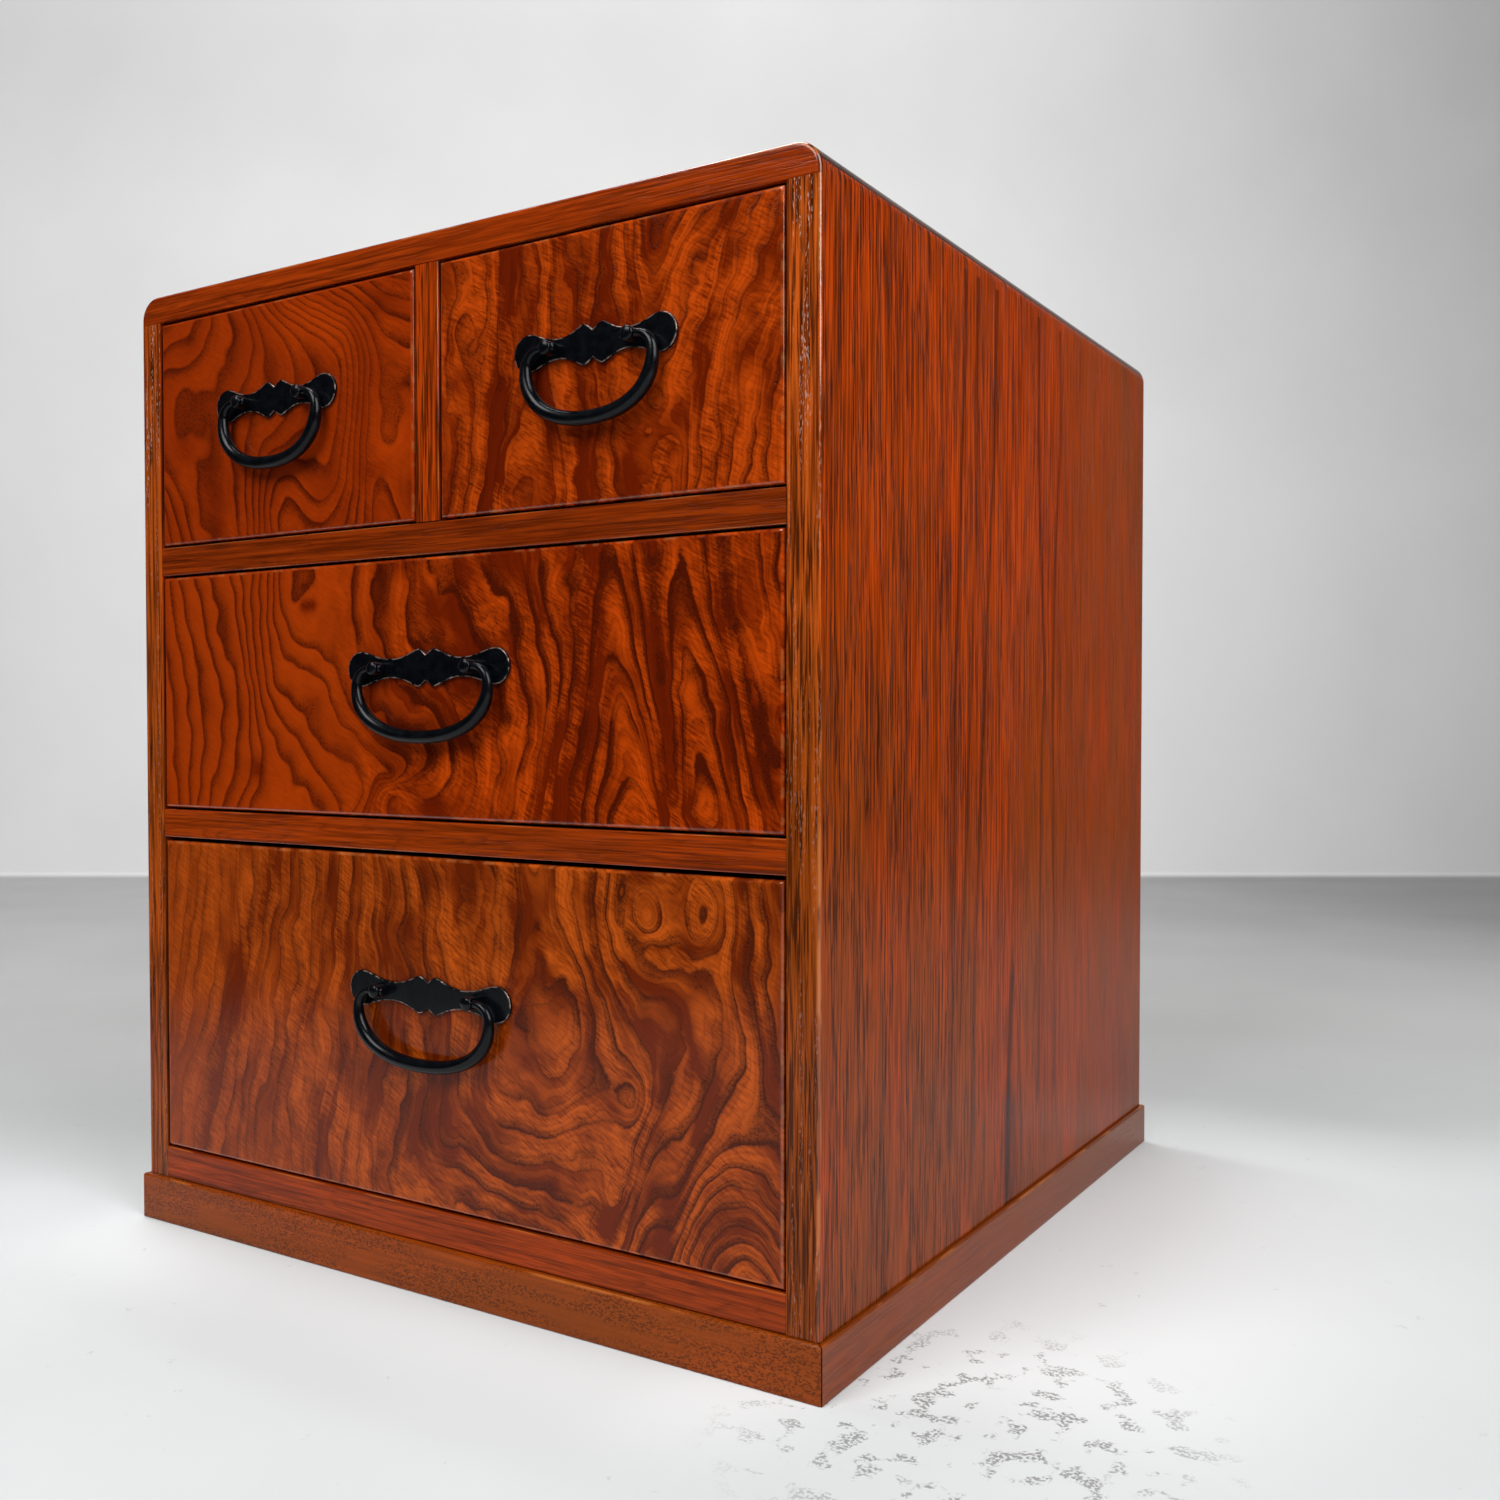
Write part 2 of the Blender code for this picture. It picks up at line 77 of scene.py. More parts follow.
class Facing(Enum):
    """Which way a flat piece faces: its direction across, its direction up and the one into it."""

    FRONT = ((1, 0, 0), (0, 0, 1), (0, 1, 0))
    BACK = ((-1, 0, 0), (0, 0, 1), (0, -1, 0))
    RIGHT = ((0, 1, 0), (0, 0, 1), (-1, 0, 0))
    LEFT = ((0, -1, 0), (0, 0, 1), (1, 0, 0))

    def place(self, sheet: Array, depth: float) -> Array:
        """Put flat points into the chest.

        Args:
            sheet: points across and up, with a last axis of two.
            depth: where they lie along the direction into the piece.

        Returns:
            The same points with a last axis of three.
        """
        across, up, inward = (np.array(axis, float) for axis in self.value)
        return sheet[..., :1] * across + sheet[..., 1:] * up + depth * inward

    def spans(self, low: Array, high: Array) -> Array:
        """Return the box as seen from this side: rows across, up and inward, columns low and high."""
        ends = np.array(self.value, float) @ np.stack([low, high], 1)
        return np.sort(ends, axis=1)


class Grain(Enum):
    """Which axis a board's fibres run along."""

    UPRIGHT = 2
    LEVEL = 0
    INWARD = 1

    def stretch(self, across: float, along: float) -> Triple:
        """Return how often a pattern repeats per metre along x, y and z."""
        return tuple(along if axis == self.value else across for axis in range(3))


def edge_loop(sheet: Array) -> Array:
    """Return the border points of a grid, once round, counter-clockwise as its face is seen."""
    return np.concatenate([sheet[:-1, 0], sheet[-1, :-1], sheet[:0:-1, -1], sheet[0, :0:-1]])


@dataclass
class Skin:
    """A closed surface gathered from grids of points, with a mark on the points of worn edges."""

    points: list[Array] = field(default_factory=list)
    quads: list[Array] = field(default_factory=list)
    lids: list[list[int]] = field(default_factory=list)
    rims: list[Array] = field(default_factory=list)
    count: int = 0

    def grid(self, points: Array, rim: Array | float = 0.0, wrap: bool = False) -> None:
        """Add a grid; its face looks along first axis x second axis.

        Args:
            points: grid of points, with a last axis of three.
            rim: wear mark of the points, a number or a grid.
            wrap: whether the second axis closes on itself.
        """
        rows, columns = points.shape[:2]
        index = self.count + np.arange(rows * columns).reshape(rows, columns)
        if wrap:
            index = np.concatenate([index, index[:, :1]], axis=1)
        corners = (index[:-1, :-1], index[1:, :-1], index[1:, 1:], index[:-1, 1:])
        self.quads.append(np.stack(corners, -1).reshape(-1, 4))
        self.points.append(points.reshape(-1, 3))
        self.rims.append(np.broadcast_to(rim, (rows, columns)).ravel())
        self.count += rows * columns

    def lid(self, loop: Array) -> None:
        """Close a flat loop of points with one face, which looks towards whoever sees it run clockwise.

        Args:
            loop: the points, once round.
        """
        self.lids.append((self.count + np.arange(len(loop)))[::-1].tolist())
        self.points.append(loop)
        self.rims.append(np.zeros(len(loop)))
        self.count += len(loop)

    def join(self, other: "Skin") -> None:
        """Take in another surface.

        Args:
            other: the surface, which stays as it is.
        """
        self.quads += [quads + self.count for quads in other.quads]
        self.lids += [[self.count + index for index in lid] for lid in other.lids]
        self.points += other.points
        self.rims += other.rims
        self.count += other.count

    def finish(self, name: str, smooth: float = 38.0) -> bpy.types.Object:
        """Close the seams and return the surface as an object at the origin.

        Args:
            name: the piece's name.
            smooth: edges that turn by more than this many degrees stay sharp.

        Returns:
            The new object, linked to the scene.
        """
        mesh = bpy.data.meshes.new(name)
        mesh.from_pydata(np.concatenate(self.points), [], np.concatenate(self.quads).tolist() + self.lids)
        put_attribute(mesh, "rim", np.concatenate(self.rims))
        gathered = bmesh.new()
        gathered.from_mesh(mesh)
        bmesh.ops.remove_doubles(gathered, verts=gathered.verts, dist=SEAM)
        bmesh.ops.dissolve_degenerate(gathered, edges=gathered.edges, dist=SLIVER)
        gathered.to_mesh(mesh)
        gathered.free()
        mesh.polygons.foreach_set("use_smooth", np.ones(len(mesh.polygons), bool))
        mesh.set_sharp_from_angle(angle=math.radians(smooth))
        piece = bpy.data.objects.new(name, mesh)
        bpy.context.scene.collection.objects.link(piece)
        return piece


def put_attribute(mesh: bpy.types.Mesh, name: str, values: Array) -> None:
    """Store one number per point on a mesh under a name."""
    layer = mesh.attributes.new(name, 'FLOAT', 'POINT')
    layer.data.foreach_set("value", values.astype(np.float32))


def read_triples(items: bpy.types.bpy_prop_collection, key: str) -> Array:
    """Return a property of a mesh's points or faces as rows of three.

    Args:
        items: the points or the faces.
        key: the property's name.

    Returns:
        One row for each item.
    """
    flat = np.empty(len(items) * 3, np.float32)
    items.foreach_get(key, flat)
    return flat.reshape(-1, 3).astype(float)


@dataclass(frozen=True)
class Panel:
    """A rectangle across and up, as a grid of points about pitch apart."""

    low: Pair
    high: Pair
    pitch: Pair

    def sheet(self, inset: Sides) -> Array:
        """Return the grid: evenly spaced points between the four sides.

        Args:
            inset: how far the left, right, lower and upper sides are drawn in.

        Returns:
            Points across and up, with a last axis of two.
        """
        steps = [max(2, round((b - a) / p) + 1) for a, b, p in zip(self.low, self.high, self.pitch)]
        across = np.linspace(self.low[0] + inset[0], self.high[0] - inset[1], steps[0])
        up = np.linspace(self.low[1] + inset[2], self.high[1] - inset[3], steps[1])
        return np.stack(np.meshgrid(across, up, indexing="ij"), -1)


@dataclass(frozen=True)
class RoundedEnds(Panel):
    """A rectangle whose two upper corners are quarter circles, as the end of the top panel is.

    Its lower side is drawn in between its two ends alone, as far out as the lap.
    """

    radius: float
    lap: float
    chords: int = 14

    def sheet(self, inset: Sides) -> Array:
        """Return the grid: columns from the lower side to the curve top - R + r sin(turn).

        Args:
            inset: how far the left, right, lower and upper sides are drawn in.

        Returns:
            Points across and up, with a last axis of two.
        """
        turn = np.linspace(0.0, QUARTER, self.chords + 1)
        reach = self.radius - inset[3]
        bow = reach * (1 - np.cos(turn))
        inner = np.linspace(self.low[0] + self.radius, self.high[0] - self.radius,
                            round((self.high[0] - self.low[0]) / self.pitch[0]))[1:-1]
        across = np.concatenate([self.low[0] + inset[3] + bow, inner,
                                 (self.high[0] - inset[3] - bow)[::-1]])
        curve = self.high[1] - self.radius + reach * np.sin(turn)
        upper = np.concatenate([curve, np.full(len(inner), self.high[1] - inset[3]), curve[::-1]])
        lower = self.low[1] + inset[2] * (np.abs(across) < self.lap)
        share = np.linspace(0.0, 1.0, max(3, round((self.high[1] - self.low[1]) / self.pitch[1])))
        up = lower[:, None] + share * (upper - lower)[:, None]
        return np.stack([np.broadcast_to(across[:, None], up.shape), up], -1)


@dataclass(frozen=True)
class Station:
    """One step of a slab's section: how far each side is drawn in, how deep it lies and its wear."""

    inset: Sides
    depth: float
    rim: float = 0.0


def round_over(radius: float, sides: Sides, steps: int = 6) -> list[Station]:
    """Return the stations of a quarter-circle edge, from the face back to the wall.

    Args:
        radius: of the quarter circle.
        sides: 1 for each side that is rounded and 0 for the others.
        steps: number of chords.

    Returns:
        Stations with inset r (1 - sin turn) and depth r (1 - cos turn), most worn in the middle.
    """
    return [Station(tuple(side * radius * (1 - math.sin(turn)) for side in sides),
                    radius * (1 - math.cos(turn)), math.sin(2 * turn))
            for turn in np.linspace(0.0, QUARTER, steps + 1)]


def slab(outline: "Panel | BatWing", stations: list[Station], facing: Facing, face: float) -> Skin:
    """Carry a section round an outline: walls between the stations, a grid on the face, a flat back.

    Args:
        outline: gives the flat grid for a drawn-in outline.
        stations: the section from the face to the back.
        facing: which way the face looks.
        face: where the face lies along the direction into the piece.

    Returns:
        The closed surface.
    """
    skin = Skin()
    placed = [facing.place(outline.sheet(station.inset), face + station.depth) for station in stations]
    loops = np.stack([edge_loop(sheet) for sheet in placed])
    skin.grid(loops, np.array([station.rim for station in stations])[:, None], wrap=True)
    skin.grid(placed[0])
    skin.lid(loops[-1])
    return skin


class Value:
    """A shader socket that takes part in arithmetic: each operation adds a Math node."""

    def __init__(self, ink: "Ink", socket: bpy.types.NodeSocket | None) -> None:
        """Wrap a socket of a node tree."""
        self.ink = ink
        self.socket = socket

    def _math(self, operation: str, *terms: "Value | float") -> "Value":
        """Return a Math node's result for the terms in order."""
        return self.ink.node("ShaderNodeMath", {"operation": operation}, dict(enumerate(terms)))

    def __add__(self, other: "Value | float") -> "Value":
        """Return the sum."""
        return self._math('ADD', self, other)

    def __radd__(self, other: float) -> "Value":
        """Return the sum with a number in front."""
        return self._math('ADD', other, self)

    def __sub__(self, other: "Value | float") -> "Value":
        """Return the difference."""
        return self._math('SUBTRACT', self, other)

    def __rsub__(self, other: float) -> "Value":
        """Return a number less this."""
        return self._math('SUBTRACT', other, self)

    def __mul__(self, other: "Value | float") -> "Value":
        """Return the product."""
        return self._math('MULTIPLY', self, other)

    def __rmul__(self, other: float) -> "Value":
        """Return the product with a number in front."""
        return self._math('MULTIPLY', other, self)

    def __truediv__(self, other: "Value | float") -> "Value":
        """Return the quotient."""
        return self._math('DIVIDE', self, other)

    def __rtruediv__(self, other: float) -> "Value":
        """Return a number over this."""
        return self._math('DIVIDE', other, self)

    def fraction(self) -> "Value":
        """Return what is left over the whole number below."""
        return self._math('FRACT', self)

    def highest(self, other: "Value | float") -> "Value":
        """Return the larger of the two."""
        return self._math('MAXIMUM', self, other)

    def lowest(self, other: "Value | float") -> "Value":
        """Return the smaller of the two."""
        return self._math('MINIMUM', self, other)

    def clip(self) -> "Value":
        """Return this held between 0 and 1."""
        return self.highest(0.0).lowest(1.0)

    def rise(self, start: float, end: float, low: float = 0.0, high: float = 1.0) -> "Value":
        """Return a smooth step from low at start to high at end."""
        return self.ink.node("ShaderNodeMapRange", {"interpolation_type": 'SMOOTHSTEP'},
                             {0: self, 1: start, 2: end, 3: low, 4: high})


class Ink:
    """The node tree of one material, with one way to add any node."""

    def __init__(self, name: str) -> None:
        """Start a material with an empty tree.

        Args:
            name: the material's name.
        """
        self.material = bpy.data.materials.new(name)
        self.material.use_nodes = True
        self.tree = self.material.node_tree
        self.tree.nodes.clear()

    def node(self, kind: str, settings: dict | None = None, inputs: dict | None = None,
             output: int | str = 0) -> Value:
        """Add a node.

        Args:
            kind: the node's type.
            settings: its properties, set before its sockets; "stops" gives a ramp's places and greys.
            inputs: numbers, colours or values for its sockets, by name or number.
            output: which output is wanted.

        Returns:
            That output, empty for a node that has none.
        """
        made = self.tree.nodes.new(kind)
        for key, value in (settings or {}).items():
            if key == "stops":
                self._set_stops(made.color_ramp, value)
            else:
                setattr(made, key, value)
        for key, value in (inputs or {}).items():
            if isinstance(value, Value):
                self.tree.links.new(value.socket, made.inputs[key])
            elif made.inputs[key].type == 'RGBA' and len(value) == 3:
                made.inputs[key].default_value = (*value, 1.0)
            else:
                made.inputs[key].default_value = value
        return Value(self, made.outputs[output] if made.outputs else None)

    @staticmethod
    def _set_stops(ramp: bpy.types.ColorRamp, stops: Stops) -> None:
        """Give a colour ramp its stops.

        Args:
            ramp: the ramp, with its first two stops.
            stops: a place and a grey for each stop.
        """
        for _ in range(len(stops) - 2):
            ramp.elements.new(0.5)
        for element, (place, grey) in zip(ramp.elements, stops):
            element.position = place
            element.color = (grey, grey, grey, 1.0)

    def mark(self, name: str) -> Value:
        """Return a number that the piece's own mesh carries under a name."""
        return self.node("ShaderNodeAttribute", {"attribute_name": name}, output="Fac")

    def ramp(self, share: Value, stops: Stops) -> Value:
        """Return a grey from a ramp, at a share of its length."""
        return self.node("ShaderNodeValToRGB", {"stops": stops}, {0: share})

    def spot(self, scale: Triple | float = 1.0, turn: Triple = (0.0, 0.0, 0.0),
             shift: Triple = (0.0, 0.0, 0.0)) -> Value:
        """Return the point on the piece in metres, shifted, turned and scaled.

        Args:
            scale: factors along x, y and z, or one for all.
            turn: angles about x, y and z.
            shift: distances along x, y and z.

        Returns:
            The point.
        """
        place = self.node("ShaderNodeTexCoord", output="Object")
        scales = scale if isinstance(scale, tuple) else (scale, scale, scale)
        turned = self.node("ShaderNodeMapping", {"vector_type": 'POINT'},
                           {"Vector": place, "Rotation": turn, "Location": shift})
        return self.node("ShaderNodeVectorMath", {"operation": 'MULTIPLY'}, {0: turned, 1: scales})

    def along(self, axis: Triple) -> Value:
        """Return how far a point lies along a direction, in metres."""
        return self.node("ShaderNodeVectorMath", {"operation": 'DOT_PRODUCT'}, {0: self.spot(), 1: axis},
                         output="Value")

    def noise(self, spot: Value, detail: float = 2.0, rough: float = 0.5) -> Value:
        """Return smooth noise at a point, about 0.5 in the middle."""
        return self.node("ShaderNodeTexNoise", {"noise_dimensions": '3D'},
                         {"Vector": spot, "Scale": 1.0, "Detail": detail, "Roughness": rough})

    def stir(self, often: float, depth: float, detail: float = 2.0) -> Value:
        """Return noise that swings by a depth about nothing, from its repeats per metre."""
        return (self.noise(self.spot(often), detail) - 0.5) * depth

    def blend(self, share: Value | float, first: Value | Colour, second: Value | Colour) -> Value:
        """Return a colour between two, at a share from the first to the second."""
        return self.node("ShaderNodeMix", {"data_type": 'RGBA', "clamp_factor": True},
                         {0: share, 6: first, 7: second}, output=2)

    def shade(self, inputs: dict, bump: Value, height: float) -> Material:
        """Finish the material with a Principled shader.

        Args:
            inputs: numbers, colours or values for the shader's sockets.
            bump: relief from 0 to 1.
            height: of the relief in metres.

        Returns:
            The material.
        """
        normal = self.node("ShaderNodeBump", None, {"Strength": 1.0, "Distance": height, "Height": bump})
        shader = self.node("ShaderNodeBsdfPrincipled", None, {**inputs, "Normal": normal})
        self.node("ShaderNodeOutputMaterial", None, {"Surface": shader})
        return self.material


@dataclass(frozen=True)
class GrainLine:
    """A growth-ring line as it runs over a face: its ring number and its points in millimetres."""

    ring: float
    points: tuple[Pair, ...]
    step: float = 8.0

    def even(self) -> Array:
        """Return points about a step apart along the line.

        Returns:
            Points across and up, in millimetres.
        """
        path = np.array(self.points, float)
        run = np.concatenate([[0.0], np.cumsum(np.hypot(*np.diff(path, axis=0).T))])
        places = np.linspace(0.0, run[-1], max(2, round(run[-1] / self.step) + 1))
        return np.stack([np.interp(places, run, path[:, axis]) for axis in (0, 1)], -1)


@dataclass(frozen=True)
class Band:
    """A soft streak of darker or brighter wood along a path, also used for broad painted shade and light:
    depth exp(-(distance / half)2).
    """

    half: float
    depth: float
    points: tuple[Pair, ...]
    speck: float = 1e-4

    def shade(self, x: Array, z: Array) -> Array:
        """Return how much darker or brighter each point is; a path of one point counts as a speck.

        Args:
            x: places across, in millimetres.
            z: places up.

        Returns:
            One number for each point.
        """
        path = np.array(self.points, float)
        start = path[:-1] if len(path) > 1 else path
        along = np.diff(path, axis=0) if len(path) > 1 else np.full((1, 2), self.speck)
        dx, dz = x[:, None] - start[:, 0], z[:, None] - start[:, 1]
        share = np.clip((dx * along[:, 0] + dz * along[:, 1]) / (along ** 2).sum(1), 0.0, 1.0)
        gap = np.hypot(dx - share * along[:, 0], dz - share * along[:, 1]).min(-1)
        return self.depth * np.exp(-(gap / self.half) ** 2)


@dataclass(frozen=True)
class Ripple:
    """Random waviness of the rings: the sum of sine waves of like length in seeded directions."""

    wave: float
    lift: float
    stretch: float
    seed: int
    waves: int = 24
    spread: Pair = (0.7, 1.5)

    def rise(self, x: Array, z: Array) -> Array:
        """Return by how many rings the wood is lifted at each point.

        Args:
            x: places across, in millimetres.
            z: places up.

        Returns:
            One number for each point.
        """
        draw = np.random.default_rng(self.seed)
        turn, phase = draw.uniform(0.0, math.tau, (2, self.waves))
        often = math.tau / (self.wave * draw.uniform(*self.spread, self.waves))
        across, along = often * np.cos(turn), often * np.sin(turn) / self.stretch
        waves = np.sin(np.outer(x, across) + np.outer(z, along) + phase)
        return self.lift * waves.sum(-1) * math.sqrt(2.0 / self.waves)


@dataclass(frozen=True)
class Figure:
    """The growth rings over a face: numbered grain lines with a bent sheet through them, and waviness.

    Without lines the rings are evenly spaced across the board.
    """

    lines: tuple[GrainLine, ...] = ()
    bands: tuple[Band, ...] = ()
    ripples: tuple[Ripple, ...] = ()
    pitch: float = 7.0
    # Direction in degrees of the fixed light that the painted sheen is shaded from.
    light: float = 135.0
    edge_pitch: float = 6.0
    slack: float = 0.002
    burr: Sides = (0.0, 1.0, 0.5, 0.5)
    slope_step: float = 0.5
    sheen_sharpness: float = 5.0
    decimetre: ClassVar[float] = 100.0
    nearest: ClassVar[float] = 1e-12

    @classmethod
    def sag(cls, places: Array, spots: Array) -> Array:
        """Return r2 log r between places and spots, the sag of a thin sheet under a point load."""
        square = ((places[:, None] - spots[None]) ** 2).sum(-1)
        return 0.5 * square * np.log(np.maximum(square, cls.nearest))

    @cached_property
    def sheet(self) -> tuple[Array, Array]:
        """Bend a sheet through the grain lines.

        Returns:
            The lines' spots in decimetres, and the loads on them with the sheet's level and two slopes.
        """
        parts = [line.even() for line in self.lines]
        rings = np.concatenate([np.full(len(part), line.ring) for part, line in zip(parts, self.lines)])
        spots = np.concatenate(parts) / self.decimetre
        count = len(spots)
        level = np.concatenate([np.ones((count, 1)), spots], axis=1)
        weigh = np.zeros((count + 3, count + 3))
        weigh[:count, :count] = self.sag(spots, spots) + self.slack * np.eye(count)
        weigh[:count, count:] = level
        weigh[count:, :count] = level.T
        return spots, np.linalg.solve(weigh, np.concatenate([rings, np.zeros(3)]))

    def rings(self, x: Array, z: Array) -> Array:
        """Return the ring number at each point.

        Args:
            x: places across, in millimetres.
            z: places up.

        Returns:
            One number for each point.
        """
        total = x / self.pitch
        if self.lines:
            spots, loads = self.sheet
            places = np.stack([x, z], -1) / self.decimetre
            total = self.sag(places, spots) @ loads[:-3] + loads[-3] + places @ loads[-2:]
        for ripple in self.ripples:
            total = total + ripple.rise(x, z)
        return total

    def mark(self, piece: bpy.types.Object, across: int = 0, up: int = 2) -> None:
        """Store ring number, glow (painted sheen), shade and burr on a piece.

        The glow is painted sheen: the rings' slope towards a fixed light, 0.5 + 0.5 tanh, as curly fibres
        catch it.
        The burr grows across the board from a calm side to a wild one. On the edges the rings go on with the
        depth.

        Args:
            piece: the wooden piece.
            across: which axis counts as across.
            up: which axis counts as up.
        """
        points = read_triples(piece.data.vertices, "co") / MM
        x, z = points[:, across], points[:, up]
        depth = points[:, 3 - across - up]
        ring = self.rings(x, z)
        sx = (self.rings(x + self.slope_step, z) - ring) / self.slope_step
        sz = (self.rings(x, z + self.slope_step) - ring) / self.slope_step
        # Painted sheen: brighter where the rings slope towards that fixed light, darker where they slope
        # away.
        turn = math.radians(self.light)
        towards = sx * math.cos(turn) + sz * math.sin(turn)
        shade = sum((band.shade(x, z) for band in self.bands), np.zeros_like(x))
        put_attribute(piece.data, "ring", ring + depth / self.edge_pitch)
        put_attribute(piece.data, "glow", 0.5 + 0.5 * np.tanh(self.sheen_sharpness * towards))
        put_attribute(piece.data, "shade", shade)
        put_attribute(piece.data, "burr", np.interp(x, self.burr[:2], self.burr[2:]))


def traced(*rows: tuple[float, ...]) -> tuple[GrainLine, ...]:
    """Return grain lines from rows of numbers: the ring, then each point's place across and up."""
    return tuple(GrainLine(row[0], tuple(zip(row[1::2], row[2::2]))) for row in rows)


def streaks(*rows: tuple[float, ...]) -> tuple[Band, ...]:
    """Return streaks from rows of numbers: half width, depth, then each point's place across and up."""
    return tuple(Band(row[0], row[1], tuple(zip(row[2::2], row[3::2]))) for row in rows)


@dataclass(frozen=True)
class FiguredLacquer:
    """Clear gloss lacquer over burr figure: ring lines, flames beside them, hatching and pores."""

    base: Colour
    bright: Colour
    line: Colour = (0.075, 0.0065, 0.0005)
    lines: float = 0.60
    late: float = 0.20
    banding: float = 0.50
    contrast: float = 1.0
    worn: Colour = (0.46, 0.17, 0.05)
    pore: Colour = (0.03, 0.003, 0.0005)
    wave_often: float = 140.0
    wave_lift: float = 0.18
    curl_often: float = 520.0
    curl_lift: float = 0.10
    calm: float = 0.25
    strips: float = 4.0
    strip_often: float = 210.0
    strip_lift: float = 0.7
    fade_often: float = 34.0
    fade_shift: Triple = (0.3, 0.1, 0.2)
    fade_step: Sides = (0.36, 0.58, 0.30, 1.0)
    steady: float = 0.95
    flame_often: float = 26.0
    flame_fall: float = 0.70
    flame: float = 1.15
    flake_often: float = 40.0
    flake: float = 0.34
    flame_mean: float = 0.46
    sheen: float = 0.32
    tone: float = 0.41
    middle: float = 0.42
    hatch_lean: float = -30.0
    hatch_often: Triple = (210.0, 210.0, 1200.0)
    hatch: float = 0.25
    flame_hatch: float = 3.4
    fine: float = 0.05
    burr_fine: float = 0.22
    pore_often: float = 1300.0
    pore_step: Pair = (0.56, 0.66)
    pore_place: Pair = (0.15, 0.75)
    pore_depth: float = 0.6
    wear_often: float = 160.0
    wear_step: Pair = (0.50, 0.64)
    wear: float = 0.4
    roughness: float = 0.10
    line_roughness: float = 0.06
    gloss: float = 0.17
    coat_roughness: float = 0.08
    relief: float = 0.00003
    pore_relief: float = 0.8
    hatch_relief: float = 0.10
    thin_stops: ClassVar[Stops] = ((0.0, 1.0), (0.12, 0.90), (0.26, 0.50), (0.46, 0.24), (0.72, 0.06),
                                   (0.88, 0.0), (0.95, 0.35), (1.0, 1.0))
    late_stops: ClassVar[Stops] = ((0.0, 0.9), (0.22, 0.8), (0.50, 0.15), (0.85, 0.0), (0.95, 0.5),
                                   (1.0, 0.9))
    fine_stops: ClassVar[Stops] = ((0.0, 1.0), (0.15, 0.6), (0.45, 0.1), (0.80, 0.0), (0.92, 0.5),
                                   (1.0, 1.0))
    ring_jump: ClassVar[Triple] = (3.17, 5.71, 1.37)
    jump_step: ClassVar[Pair] = (0.36, 0.66)

    def material(self, name: str) -> Material:
        """Return the finish as a material.

        Each ring is brightest just past its dark line and fades across to the next one. Hatching, drawn
        out along one lean, shows in the bright flames alone.

        Args:
            name: the material's name.

        Returns:
            The material.
        """
        ink = Ink(name)
        burr = ink.mark("burr")
        rim = ink.mark("rim")
        wave = ink.stir(self.wave_often, self.wave_lift, 3.0) + ink.stir(self.curl_often, self.curl_lift)
        ring = ink.mark("ring") + wave * (self.calm + burr * (1.0 - self.calm))
        strip = ring * self.strips + ink.stir(self.strip_often, self.strip_lift)
        thin = ink.ramp(ring.fraction(), self.thin_stops)
        late = ink.ramp(ring.fraction(), self.late_stops)
        fine = ink.ramp(strip.fraction(), self.fine_stops)
        fade = ink.noise(ink.spot(self.fade_often, shift=self.fade_shift)).rise(*self.fade_step)
        fade = fade.highest(self.steady - burr)
        flame = self._by_ring(ink, ring, self.flame_often) * (1.0 - ring.fraction() * self.flame_fall)
        flake = self._by_ring(ink, strip, self.flake_often) - 0.5
        # glow is painted sheen from the rings' slope towards a fixed light; sheen sets how strongly it
        # shows.
        tone = ink.mark("glow") * self.sheen + ink.mark("shade") * self.banding + self.tone
        tone = tone + burr * (flame * self.flame + flake * self.flake - self.flame_mean)
        slant = (0.0, math.radians(self.hatch_lean), 0.0)
        hatch = ink.noise(ink.spot(self.hatch_often, slant)) - 0.5
        hatch = hatch * (self.hatch + burr * flame * self.flame_hatch)
        tone = (tone + hatch - self.middle) * self.contrast + self.middle
        colour = ink.blend(tone.clip(), self.base, self.bright)
        dark = thin * fade * self.lines + late * burr * burr * fade * self.late
        dark = (dark + fine * (burr * self.burr_fine + self.fine)).clip() * (1.0 - rim)
        colour = ink.blend(dark, colour, self.line)
        pore = ink.noise(ink.spot(self.pore_often), 1.0).rise(*self.pore_step) * dark.rise(*self.pore_place)
        colour = ink.blend(pore * self.pore_depth, colour, self.pore)
        wear = rim * ink.noise(ink.spot(self.wear_often), 3.0).rise(*self.wear_step)
        colour = ink.blend(wear * self.wear, colour, self.worn)
        return ink.shade({"Base Color": colour, "Roughness": self.roughness + thin * self.line_roughness,
                          "Specular IOR Level": self.gloss, "Coat Weight": rim,
                          "Coat Roughness": self.coat_roughness},
                         (1.0 - pore * self.pore_relief) + hatch * self.hatch_relief, self.relief)

    def _by_ring(self, ink: Ink, count: Value, often: float) -> Value:
        """Return soft noise that jumps at every whole number of a count, so that its edges lie on rings.

        Args:
            ink: the node writer.
            count: the ring number.
            often: the noise's repeats per metre.

        Returns:
            The noise, 0 to 1.
        """
        index = count - count.fraction()
        jump = ink.node("ShaderNodeCombineXYZ", None,
                        {axis: index * length for axis, length in enumerate(self.ring_jump)})
        place = ink.node("ShaderNodeVectorMath", {"operation": 'ADD'}, {0: ink.spot(often), 1: jump})
        return ink.noise(place).rise(*self.jump_step)


@dataclass(frozen=True)
class Weave:
    """Noise drawn out along the fibres: its repeats per metre across and along them, and its fineness."""

    across: float
    along: float
    detail: float = 2.0
    rough: float = 0.5

    def noise(self, ink: Ink, grain: Grain, seed: float = 0.0) -> Value:
        """Return the noise on a board with its fibres along the grain, shifted by a seed."""
        spot = ink.spot(grain.stretch(self.across, self.along), shift=(seed, seed * 0.7, seed * 0.3))
        return ink.noise(spot, self.detail, self.rough)


